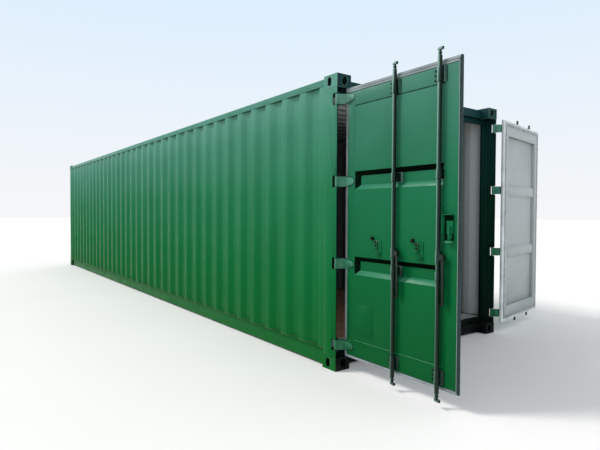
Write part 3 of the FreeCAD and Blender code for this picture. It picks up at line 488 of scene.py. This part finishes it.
def add_disc(bm, middle, axis, radius, height, segments=12, crown=0.55):
    """A round head that stands on a face: a short cylinder that narrows to a flat crown."""
    turn = Vector((0, 0, 1)).rotation_difference(Vector(axis)).to_matrix().to_4x4()
    place = Matrix.Translation(Vector(middle)) @ turn
    rings = []
    for level, share in ((0.0, 1.0), (0.45, 1.0), (0.85, 0.82), (1.0, crown)):
        ring = []
        for k in range(segments):
            a = 2 * math.pi * k / segments
            point = Vector((math.cos(a) * radius * share, math.sin(a) * radius * share, level * height))
            ring.append(bm.verts.new(place @ point))
        rings.append(ring)
    for one, two in zip(rings, rings[1:]):
        for k in range(segments):
            bm.faces.new((one[k], one[(k + 1) % segments], two[(k + 1) % segments], two[k]))
    bm.faces.new(rings[-1])
    bm.faces.new(list(reversed(rings[0])))


WASHER = 0.22  # a washer's thickness, as a share of its bolt head's height


def add_hex(bm, middle, axis, across, height, washer):
    """A bolt head on a washer of the given radius."""
    add_disc(bm, middle, axis, washer, height * WASHER, 20, 0.9)
    middle = Vector(middle) + Vector(axis) * height * WASHER
    add_disc(bm, middle, axis, across / math.sqrt(3), height, 6, 0.92)


def add_tube(bm, points, radius, ripple=0.0, sides=6):
    """A bar along a line of points; ripple makes a welded bead of it."""
    points = [Vector(point) for point in points]
    previous = None
    for k, point in enumerate(points):
        run = (points[min(k + 1, len(points) - 1)] - points[max(k - 1, 0)]).normalized()
        side = run.cross(Vector((0.31, 0.17, 0.93))).normalized()
        other = run.cross(side)
        wide = radius * (1 + ripple * (math.sin(k * 2.1) + 0.6 * math.sin(k * 0.77)))
        ring = []
        for s in range(sides):
            a = 2 * math.pi * s / sides
            ring.append(bm.verts.new(point + side * math.cos(a) * wide + other * math.sin(a) * wide))
        if previous:
            for s in range(sides):
                bm.faces.new((previous[s], previous[(s + 1) % sides], ring[(s + 1) % sides], ring[s]))
        else:
            bm.faces.new(list(reversed(ring)))
        previous = ring
    bm.faces.new(previous)


def add_bead(bm, start, end, radius, step=0.014):
    """A straight weld bead."""
    start, end = Vector(start), Vector(end)
    count = max(2, int((end - start).length / step))
    add_tube(bm, [start.lerp(end, k / count) for k in range(count + 1)], radius, 0.16)


def rounded(points, radius, steps=3):
    """An open line of (a, b) points with its corners rounded."""
    points = [Vector(p) for p in points]
    line = [points[0]]
    for before, corner, after in zip(points, points[1:], points[2:]):
        back = (before - corner).normalized()
        on = (after - corner).normalized()
        reach = min(radius, (before - corner).length * 0.45, (after - corner).length * 0.45)
        for k in range(steps + 1):
            t = k / steps
            first = (corner + back * reach) * (1 - t) ** 2
            line.append(first + corner * 2 * t * (1 - t) + (corner + on * reach) * t * t)
    line.append(points[-1])
    return line


def sheet_mesh(name, line, thick, low, high, layout):
    """A pressed sheet: the line swept from low to high and thickened. layout(a, b, c) gives a point's place.
    Material 0 is on the line's own side and 1 on the thickened side."""
    bm = bmesh.new()
    normals = []
    for k, point in enumerate(line):
        before = line[max(0, k - 1)]
        after = line[min(len(line) - 1, k + 1)]
        run = (after - before).normalized()
        normals.append(Vector((-run.y, run.x)))
    fronts = []
    backs = []
    for level in (low, high):
        fronts.append([bm.verts.new(layout(p.x, p.y, level)) for p in line])
        backs.append([bm.verts.new(layout(*(p + n * thick), level)) for p, n in zip(line, normals)])
    for k in range(len(line) - 1):
        front = bm.faces.new((fronts[0][k], fronts[0][k + 1], fronts[1][k + 1], fronts[1][k]))
        back = bm.faces.new((backs[0][k], backs[1][k], backs[1][k + 1], backs[0][k + 1]))
        back.material_index = 1
        front.smooth = back.smooth = True
        for level in (0, 1):
            bm.faces.new((fronts[level][k], backs[level][k], backs[level][k + 1], fronts[level][k + 1]))
    for k in (0, len(line) - 1):
        bm.faces.new((fronts[0][k], fronts[1][k], backs[1][k], backs[0][k]))
    bmesh.ops.recalc_face_normals(bm, faces=bm.faces)
    mesh = bpy.data.meshes.new(name)
    bm.to_mesh(mesh)
    bm.free()
    mesh.set_sharp_from_angle(angle=math.radians(50))
    return mesh


SHEET = 0.002
WALL_BEND, END_BEND, ROOF_BEND = 0.014, 0.008, 0.006  # how far each bend of a sheet reaches along its flats
# Crest, slope and valley of each pressed sheet.
WALL_WAVE = (0.078, 0.074, 0.076)
END_WAVE = (0.110, 0.018, 0.104)
ROOF_WAVE = (0.110, 0.020, 0.059)


def wave_layout(length, wave):
    """Pitch and number of the whole waves in a sheet, and the plain edge at each of its ends."""
    crest, slope, valley = wave
    pitch = crest + valley + 2 * slope
    count = int(length / pitch + 1e-6)
    return pitch, count, (length - count * pitch) / 2


def wave_line(length, wave, depth):
    """The pressed line of a sheet: whole waves between two plain edges."""
    crest, slope, valley = wave
    pitch, count, edge = wave_layout(length, wave)
    points = [(0.0, 0.0)]
    for k in range(count):
        start = edge + k * pitch
        points.append((start + crest / 2, 0.0))
        points.append((start + crest / 2 + slope, depth))
        points.append((start + crest / 2 + slope + valley, depth))
        points.append((start + crest / 2 + 2 * slope + valley, 0.0))
    points.append((length, 0.0))
    return points


def wall_line(low, high):
    """The pressed line of a side wall."""
    return rounded(wave_line(high.x - low.x, WALL_WAVE, high.y - low.y - SHEET), WALL_BEND)


# ---- corrugated sheets ----
SIDES = (("left", -1), ("right", 1))
for side, sign in SIDES:
    wall_low, wall_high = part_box(f"{side}_side_wall")
    face = max(abs(wall_low.y), abs(wall_high.y))
    mesh = sheet_mesh(
        f"{side}_wall_sheet",
        wall_line(wall_low, wall_high),
        SHEET,
        wall_low.z,
        wall_high.z,
        lambda a, b, c: (wall_low.x + a, sign * (face - b), c),
    )
    made = piece(f"{side}_wall_sheet", mesh, (GREEN, INSIDE), "container")
    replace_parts(made, f"{side}_side_wall")

wall_low, wall_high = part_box("front_wall")
mesh = sheet_mesh(
    "front_wall_sheet",
    rounded(wave_line(wall_high.y - wall_low.y, END_WAVE, wall_high.x - wall_low.x - SHEET), END_BEND),
    SHEET,
    wall_low.z,
    wall_high.z,
    lambda a, b, c: (wall_low.x + b, wall_low.y + a, c),
)
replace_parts(piece("front_wall_sheet", mesh, (GREEN, INSIDE), "container"), "front_wall")

roof_low, roof_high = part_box("roof_sheet")
mesh = sheet_mesh(
    "roof_pressing",
    rounded(wave_line(roof_high.x - roof_low.x, ROOF_WAVE, roof_high.z - roof_low.z - SHEET), ROOF_BEND),
    SHEET,
    roof_low.y,
    roof_high.y,
    lambda a, b, c: (roof_low.x + a, c, roof_high.z - b),
)
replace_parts(piece("roof_pressing", mesh, (GREEN, INSIDE), "container"), "roof_sheet")

# ---- welds and screws of the body ----
WALL_BEAD, BEAD_IN = 0.0035, 0.0015  # a wall bead's radius, and how far it lies inside the wall's edge
POST_BEAD, POST_GAP = 0.003, 0.004
POST_BEAD_IN = 0.0046  # how far the beads' middles lie inside the container's sides
ROOF_BEAD = 0.0024
ROOF_PANEL = 5  # waves in one panel of the roof
post_low, post_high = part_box("rear_corner_posts")
welds, dirt = bmesh.new(), bmesh.new()
for side, sign in SIDES:
    wall_low, wall_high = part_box(f"{side}_side_wall")
    face = max(abs(wall_low.y), abs(wall_high.y))
    path = wall_line(wall_low, wall_high)
    for bm, level in ((dirt, wall_low.z + BEAD_IN), (welds, wall_high.z - BEAD_IN)):
        line = [(wall_low.x + p.x, sign * (face - p.y), level) for p in path]
        add_tube(bm, line, WALL_BEAD, 0.2)
    across = sign * (SIDE - POST_BEAD_IN)
    for level in (post_low.z, post_high.z):
        for start, end in ((post_low.x, post_high.x), (-post_high.x, -post_low.x)):
            start, end = start + POST_GAP, end - POST_GAP
            add_bead(welds, (start, across, level), (end, across, level), POST_BEAD, 0.008)
pitch, count, edge = wave_layout(roof_high.x - roof_low.x, ROOF_WAVE)
level = roof_high.z - 0.0025
for k in range(ROOF_PANEL, count, ROOF_PANEL):
    seam = roof_low.x + edge + k * pitch
    add_bead(welds, (seam, roof_low.y + 0.01, level), (seam, roof_high.y - 0.01, level), ROOF_BEAD)
piece("body_welds", from_bmesh("body_welds", welds), (GREEN,), "container")
piece("rail_dirt_line", from_bmesh("rail_dirt_line", dirt), (GRIT,), "container")

SCREW_ROWS, SCREWS_ACROSS = 34, 15
FIRST_ROW, ROW_STEP, SCREW_EDGE = -5.05, 0.3, 0.05
screws = bmesh.new()
boards_low, boards_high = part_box("floor_boards")
for row in range(SCREW_ROWS):
    for k in range(SCREWS_ACROSS):
        wide = boards_high.y - boards_low.y - 2 * SCREW_EDGE
        across = boards_low.y + SCREW_EDGE + wide * k / (SCREWS_ACROSS - 1)
        add_disc(screws, (FIRST_ROW + row * ROW_STEP, across, boards_high.z), (0, 0, 1), 0.0055, 0.0008, 8)
piece("floor_screws", from_bmesh("floor_screws", screws), (GALVANISED,), "container")

# ---- steel frame ----
EXPOSED = SIDE - 0.012  # faces further out than this are seen from the side


def outside(face):
    """0 on faces that look out of the container, 1 on faces that look in."""
    middle = face.calc_center_median()
    if face.normal.y * middle.y < -0.05 and abs(face.normal.y) > 0.5:
        return 1
    return 0


def flank(face):
    """0 on the faces that look out to the side, 1 on all others, painted shade."""
    middle = face.calc_center_median()
    return 0 if face.normal.y * middle.y > 0.5 * SIDE and abs(middle.y) > EXPOSED else 1


def casting_side(face):
    """0 on a casting's side, top and blind end faces, 1 on its door end face and in its apertures, painted
    shade.
    """
    middle = face.calc_center_median()
    skin = abs(middle.y) > SIDE - 0.003 or middle.z > TOP - 0.003 or middle.x < 0.003 - HALF
    return 0 if skin else 1


# Painted shade on door end faces, apertures, post grooves, header, sill, keepers and hinge pins; a painted
# highlight on the top castings' rounded edges.
softened("bottom_corner_castings", 0.005, (GREEN, SILL_SHADE), "container", casting_side)
softened(
    "top_corner_castings",
    0.005,
    (GREEN, SHADE_GREEN, EDGE_HIGHLIGHT),
    "container",
    casting_side,
    edge=2,
)
softened("rear_corner_posts", 0.0025, (GREEN, SHADE_GREEN), "container", flank)
softened("front_corner_posts", 0.004, (GREEN, INSIDE), "container", outside)
softened("top_side_rails", 0.004, (GREEN, INSIDE), "container", outside)
softened("bottom_side_rails", 0.002, (GREEN,), "container")
softened("door_header", 0.002, (SHADE_GREEN,), "container")
softened("door_sill", 0.002, (SILL_SHADE,), "container")
softened("front_top_rail", 0.004, (GREEN,), "container")
softened("front_bottom_rail", 0.004, (GREEN,), "container")
softened("header_cam_keepers", 0.002, (GEAR,), "container")
softened("sill_cam_keepers", 0.002, (SILL_SHADE,), "container")
softened("hinge_lugs", 0.002, (GEAR,), "container")
softened("hinge_pins", 0.0015, (HANDLE_SHADE,), "container")

for node, material in (
    ("roof_end_plate", GREEN),
    ("floor_boards", BOARDS),
    ("cross_members", BLACK),
    ("threshold_plate", SHINY),
):
    found = frame["nodes"][node]
    found.data.materials.clear()
    found.data.materials.append(material)

# ---- door leaves ----
def leaf_side(place):
    """A picker for one leaf: 1 on all that is seen from its inner side, and outside 2 on the troughs' faces
    that look down or towards the free edge, painted dark as shade, and 3 on faces that look up, painted
    lighter as a highlight."""
    back = place.inverted()

    def pick(face):
        middle = back @ face.calc_center_median()
        normal = back.to_3x3() @ face.normal
        if middle.y >= LEAF_OUT + 0.001 and normal.y > -0.05:
            return 1
        if middle.y < LEAF_OUT + 0.001:
            return 0
        if normal.z < -0.3 or normal.x > 0.3:
            return 2
        return 3 if normal.z > 0.3 else 0

    return pick


# The seal's section: share of the way out from the steel's edge to the lip, depth inward of the hinge axis,
# and whether the face that follows is painted dark as shade.
SEAL_LINE = (
    (0.02, 0.088, True),
    (0.09, 0.088, True),
    (0.13, 0.077, False),
    (0.22, 0.0742, False),
    (0.55, 0.0742, False),
    (0.80, 0.078, False),
    (0.96, 0.086, False),
    (1.00, 0.094, False),
    (0.98, 0.102, False),
    (0.86, 0.108, False),
    (0.70, 0.1105, False),
    (0.50, 0.1109, False),
    (0.42, 0.106, True),
    (0.34, 0.106, False),
    (0.26, 0.1108, False),
    (0.08, 0.1108, False),
    (0.02, 0.107, True),
)
# Along the free edge the seal takes its second rubber, painted dark as shade on the left leaf.
FREE_EDGE = 1  # the side of the seal along the leaf's free edge


def seal(side, place, body, materials):
    """The leaf's rubber, with two lips and a channel, swept round the leaf's edge with mitred corners; its
    second material, on the channel and the free edge, is painted shade on the left leaf.
    """
    bm = bmesh.new()
    rings = []
    for share, level, _ in SEAL_LINE:
        x = [STEEL[k] + (SEAL[k] - STEEL[k]) * share for k in (0, 1)]
        z = [STEEL_Z[k] + (SEAL_Z[k] - STEEL_Z[k]) * share for k in (0, 1)]
        rings.append([bm.verts.new((x[i], level, z[k])) for i, k in ((0, 0), (1, 0), (1, 1), (0, 1))])
    for k, (_, _, dark) in enumerate(SEAL_LINE):
        one, two = rings[k], rings[(k + 1) % len(rings)]
        for corner in range(4):
            after = (corner + 1) % 4
            face = bm.faces.new((one[corner], one[after], two[after], two[corner]))
            face.material_index = 1 if dark or corner == FREE_EDGE else 0
            face.smooth = True
    bmesh.ops.recalc_face_normals(bm, faces=bm.faces)
    mesh = bpy.data.meshes.new(f"{side}_seal_profile")
    bm.to_mesh(mesh)
    bm.free()
    mesh.set_sharp_from_angle(angle=math.radians(60))
    made = piece(f"{side}_seal_profile", mesh, materials, body, place)
    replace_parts(made, f"{side}_door_gasket")


def spread(low, high, step):
    """Places from low to high, evenly spaced by about a step."""
    count = max(1, round((high - low) / step))
    return [low + (high - low) * k / count for k in range(count + 1)]


RIVET_STEP = 0.15
STRIP_IN = 0.006  # from the steel's edge to the strip
STRIP_WIDE = 0.028
LAP_WIDE, SHADE_LINE_WIDE = 0.014, 0.005


def seal_strip(side, place, body):
    """The flat strip that holds the rubber to the leaf's inner side, and its rivets."""
    strip, rivets = bmesh.new(), bmesh.new()
    base, top = LEAF_IN + 0.0002, LEAF_IN + 0.0026
    x0, x1 = STEEL[0] + STRIP_IN, STEEL[1] - STRIP_IN
    z0, z1 = STEEL_Z[0] + STRIP_IN, STEEL_Z[1] - STRIP_IN
    for low, high in (
        ((x0, z0), (x0 + STRIP_WIDE, z1)),
        ((x1 - STRIP_WIDE, z0), (x1, z1)),
        ((x0 + STRIP_WIDE, z0), (x1 - STRIP_WIDE, z0 + STRIP_WIDE)),
        ((x0 + STRIP_WIDE, z1 - STRIP_WIDE), (x1 - STRIP_WIDE, z1)),
    ):
        add_box(strip, (low[0], base, low[1]), (high[0], top, high[1]))
    half = STRIP_WIDE / 2
    columns, levels = (x0 + half, x1 - half), (z0 + half, z1 - half)
    spots = [(column, level) for column in columns for level in spread(*levels, RIVET_STEP)]
    inner = spread(x0 + 0.16, x1 - 0.16, RIVET_STEP)
    spots += [(column, level) for level in levels for column in inner]
    for column, level in spots:
        add_disc(rivets, (column, top, level), (0, 1, 0), 0.0065, 0.0026, 8)
    for name, bm, material in (("seal_strip", strip, GALVANISED), ("seal_rivets", rivets, PALE_RUBBER)):
        piece(f"{side}_{name}", from_bmesh(f"{side}_{name}", bm), (material,), body, place)


def seal_lap(side, place, body, material):
    """The rubber's lap over the top of the leaf's outer face, with a line of painted shade below it."""
    lap, line = bmesh.new(), bmesh.new()
    start, end = STEEL[0] + 0.002, STEEL[1] - 0.002
    face, proud = LEAF_OUT + 0.0006, LEAF_OUT - 0.0016
    edge = STEEL_Z[1] - 0.0005
    foot = edge - LAP_WIDE
    add_box(lap, (start, proud, foot), (end, face, edge))
    add_box(line, (start, proud + 0.0006, foot - SHADE_LINE_WIDE), (end, face, foot))
    for name, bm, rubber_kind in (("seal_lap", lap, material), ("seal_line", line, SHADE_RUBBER)):
        piece(f"{side}_{name}", from_bmesh(f"{side}_{name}", bm), (rubber_kind,), body, place)


OUT = (0, -1, 0)  # out of a leaf, in its own frame
GUIDES = ((0.172, 0.276), (2.304, 2.408))  # foot and top of the plates that guide a rod's ends
STAYS = (0.935, 1.662)  # middles of the stays in the troughs
RIBS = (0.231, 0.944, 1.657, 2.370)  # middles of the hinge blades
BLADE_HALF = 0.0445
PLATE_FACE, STAY_FACE = LEAF_OUT - 0.006, LEAF_IN - 0.010


def guide_bolts(bm, name, rod):
    """Three bolts on each side of a rod's guides, and pairs of bolts beside its stays."""
    bolt = (OUT, 0.013, 0.008, 0.0095)
    for low, high in GUIDES:
        for offset in (-0.0525, 0.0083):
            for level in (low + 0.018, (low + high) / 2, high - 0.018):
                add_hex(bm, (rod + offset, PLATE_FACE, level), *bolt)
    for level in STAYS:
        for offset in (-0.054, 0.010) if name == "outer" else (-0.054,):
            for step in (-0.022, 0.022):
                add_hex(bm, (rod + offset, STAY_FACE, level + step), *bolt)


def rest_keeper(bm, rest):
    """A handle rest's round knob and its bent keeper, with two bolts."""
    knob = rest - 0.016
    add_disc(bm, (knob, LEAF_OUT, 1.178), OUT, 0.019, 0.006, 20, 0.9)
    add_disc(bm, (knob, LEAF_OUT - 0.006, 1.178), OUT, 0.0135, 0.020, 20, 0.7)
    bend = (
        (0.012, 0.010, 1.156),
        (0.040, 0.014, 1.160),
        (0.053, 0.018, 1.149),
        (0.055, 0.020, 1.135),
        (0.051, 0.018, 1.121),
        (0.038, 0.014, 1.117),
    )
    add_tube(bm, [(rest + across, LEAF_OUT - out, level) for across, out, level in bend], 0.0045, 0.0, 8)
    for level in (1.148, 1.124):
        add_hex(bm, (rest + 0.018, PLATE_FACE, level), OUT, 0.012, 0.006, 0.009)


def leaf_fittings(side, place, body):
    """Bolts of the rod guides, the handle rests' knobs and keepers in near black painted shade, and the
    welds of
    the leaf: the seam along the panel's top painted dark as shade, the others painted lighter as a
    highlight.
    """
    bolts, gear, welds, ledge = (bmesh.new() for _ in range(4))
    for name, rod in RODS.items():
        guide_bolts(bolts, name, rod)
        rest_keeper(gear, rod - 0.234)
    flat = LEAF_OUT - 0.0004
    top, foot = PANEL_Z[1] + 0.002, PANEL_Z[0] - 0.001
    add_bead(welds, (PANEL[0], flat, top), (PANEL[1], flat, top), 0.0036)
    for column in (PANEL[0] - 0.001, PANEL[1] + 0.001):
        add_bead(ledge, (column, flat, PANEL_Z[0]), (column, flat, PANEL_Z[1]), 0.0014)
    add_bead(ledge, (PANEL[0], flat, foot), (PANEL[1], flat, foot), 0.0034)
    for level in RIBS:
        for edge in (level - BLADE_HALF, level + BLADE_HALF):
            add_bead(ledge, (0.076, flat, edge), (0.118, flat, edge), 0.0032, 0.006)
    for name, bm, material in (
        ("guide_bolts", bolts, GEAR),
        ("rest_keepers", gear, HANDLE_SHADE),
        ("leaf_seams", welds, SHADE_GREEN),
        ("leaf_welds", ledge, HIGHLIGHT_GREEN),
    ):
        piece(f"{side}_{name}", from_bmesh(f"{side}_{name}", bm), (material,), body, place)


for side, place, body in LEAVES:
    pick = leaf_side(place)
    # On the outside the troughs get painted shade on faces that look down and a painted highlight on faces
    # that look up.
    shown = (LEAF_GREEN, LEAF_INSIDE, RECESS_SHADE, HIGHLIGHT_GREEN)
    softened(f"{side}_door_frame", 0.004, shown, body, pick)
    softened(f"{side}_door_panel", 0.0008, shown, body, pick)
    softened(f"{side}_hinge_blades", 0.003, (HINGE,), body)
    softened(f"{side}_rod_brackets", 0.0015, (ROD,), body)
    softened(f"{side}_handle_catches", 0.0015, (LEAF_GREEN,), body)
    # On the left leaf the seal's channel, free edge and the line below its lap are painted dark as shade.
    rubbers = (RUBBER, SHADE_RUBBER) if side == "left" else (PALE_RUBBER, PALE_RUBBER)
    seal(side, place, body, rubbers)
    seal_lap(side, place, body, rubbers[0])
    seal_strip(side, place, body)
    leaf_fittings(side, place, body)


# The staple's pocket is painted dark as shade up to this point across the leaf.
POCKET_END = 1.13  # across the leaf, where the staple's dark pocket ends


def lock_box_face(face):
    """1 on the pocket behind the staple's hood, painted dark as shade."""
    middle = face.calc_center_median() - Vector((PIN_X, -PIN_Y, 0))
    deep = LEAF_OUT - 0.007 < middle.y < LEAF_OUT - 0.005
    return 1 if face.normal.y < -0.9 and deep and middle.x < POCKET_END else 0


softened("left_blank_plate", 0.0005, (LEAF_GREEN,), "left_door")
softened("left_lock_staple", 0.002, (LEAF_GREEN, RECESS_SHADE), "left_door", lock_box_face)

STAPLE_FACE = LEAF_OUT - 0.0061  # just off the staple's base plate
bm = bmesh.new()
add_box(bm, (1.106, LEAF_OUT - 0.015, 1.2412), (1.156, STAPLE_FACE, 1.333))
add_box(bm, (1.111, LEAF_OUT - 0.036, 1.190), (1.156, STAPLE_FACE, 1.198))
mesh = from_bmesh("left_lock_shield", bm)
piece("left_lock_shield", mesh, (LEAF_GREEN,), "left_door", LEFT)

# The shelf below the staple, painted lighter as a highlight.
bm = bmesh.new()
add_box(bm, (1.108, LEAF_OUT - 0.038, 1.182), (1.157, STAPLE_FACE, 1.1895))
piece("left_lock_lip", from_bmesh("left_lock_lip", bm), (EDGE_HIGHLIGHT,), "left_door", LEFT)

# The blank plate's rivets, painted lighter as a highlight.
RIVET_IN = 0.012
bm = bmesh.new()
plate_low, plate_high = [corner - Vector((PIN_X, -PIN_Y, 0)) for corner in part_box("left_blank_plate")]
for column in (plate_low.x + RIVET_IN, plate_high.x - RIVET_IN):
    for level in (plate_low.z + RIVET_IN, plate_high.z - RIVET_IN):
        add_disc(bm, (column, plate_low.y, level), OUT, 0.0045, 0.0022, 10)
piece("left_plate_rivets", from_bmesh("left_plate_rivets", bm), (HIGHLIGHT_GREEN,), "left_door", LEFT)

HUB_LOW, HUB_HIGH = 1.02, 1.14  # between these heights a rod carries its handle's fork


def hub(face):
    """1 on the fork that carries a rod's handle, painted near black as shade."""
    middle = face.calc_center_median()
    nearest = min((abs(middle.x - PIN_X - rod), rod) for rod in RODS.values())[1]
    return 1 if HUB_LOW < middle.z < HUB_HIGH and middle.x - PIN_X - nearest > 0.012 else 0


# Left rods carry a painted highlight and painted shade on their two sides; forks and handles are painted
# near black as shade.
for side in ("outer", "inner"):
    softened(f"left_{side}_lock_rod", 0.002, (ROD, HANDLE_SHADE), f"left_{side}_rod", hub)
    softened(f"left_{side}_handle", 0.002, (HANDLE_SHADE,), f"left_{side}_handle_bar")
softened("right_lock_rods", 0.002, (GEAR,), "right_door")
softened("right_handles", 0.002, (HANDLE_SHADE,), "right_door")

# ---- stage, light and camera ----
FLOOR_HALF = 120.0


def stage_plane():
    bm = bmesh.new()
    bmesh.ops.create_grid(bm, x_segments=1, y_segments=1, size=FLOOR_HALF)
    mesh = from_bmesh("studio_floor", bm)
    made = bpy.data.objects.new("studio_floor", mesh)
    bpy.context.scene.collection.objects.link(made)
    g = Graph("studio_floor")
    cloud = g.span(g.noise(0.4, 2), 0.3, 0.7)
    g.link(g.mix(cloud, (0.92, 0.90, 0.88, 1), (0.94, 0.92, 0.90, 1)), g.shader.inputs["Base Color"])
    g.shader.inputs["Roughness"].default_value = 0.9
    mesh.materials.append(g.material)


stage_plane()
world = bpy.data.worlds.new("studio_world")
bpy.context.scene.world = world
world.use_nodes = True
tree = world.node_tree
background = tree.nodes["Background"]
coords = tree.nodes.new("ShaderNodeTexCoord")
split = tree.nodes.new("ShaderNodeSeparateXYZ")
ramp = tree.nodes.new("ShaderNodeValToRGB")
tree.links.new(coords.outputs["Generated"], split.inputs[0])
tree.links.new(split.outputs["Z"], ramp.inputs["Fac"])
tree.links.new(ramp.outputs["Color"], background.inputs["Color"])
ramp.color_ramp.elements[0].position = 0.0
ramp.color_ramp.elements[0].color = (0.92, 0.93, 0.94, 1)
ramp.color_ramp.elements[1].position = 0.45
ramp.color_ramp.elements[1].color = (0.70, 0.85, 1.00, 1)
overhead = ramp.color_ramp.elements.new(0.7)
overhead.color = (0.72, 0.72, 0.72, 1)
background.inputs["Strength"].default_value = 1.0

sun = bpy.data.lights.new("key_light", "SUN")
sun.energy = 1.9
sun.angle = math.radians(16)
sun.color = (1.0, 0.98, 0.94)
lamp = bpy.data.objects.new("key_light", sun)
lamp.rotation_euler = Vector((0.42, 0.52, -0.62)).to_track_quat("-Z", "Y").to_euler()
bpy.context.scene.collection.objects.link(lamp)

YAW, PITCH, ROLL = 0.9329, 0.0241, 0.0044  # radians: from +Y towards -X, down, and about the view's axis
EYE = (8.5178, -3.9691, 1.3801)
SENSOR = 36.0
FOCAL_SHARE = 485.59 / 600  # focal length over the picture's width
forward = Vector((-math.sin(YAW) * math.cos(PITCH), math.cos(YAW) * math.cos(PITCH), -math.sin(PITCH)))
across = forward.cross(Vector((0, 0, 1))).normalized()
upward = across.cross(forward)
spun_across = across * math.cos(ROLL) + upward * math.sin(ROLL)
spun_up = upward * math.cos(ROLL) - across * math.sin(ROLL)
lens = bpy.data.cameras.new("photo_view")
lens.sensor_width = SENSOR
lens.lens = FOCAL_SHARE * SENSOR
lens.clip_end = 400.0
camera = bpy.data.objects.new("photo_view", lens)
turn = Matrix((spun_across, spun_up, -forward)).transposed().to_4x4()
camera.matrix_world = Matrix.Translation(EYE) @ turn
bpy.context.scene.collection.objects.link(camera)
bpy.context.scene.camera = camera

bpy.context.scene.view_settings.view_transform = "Standard"
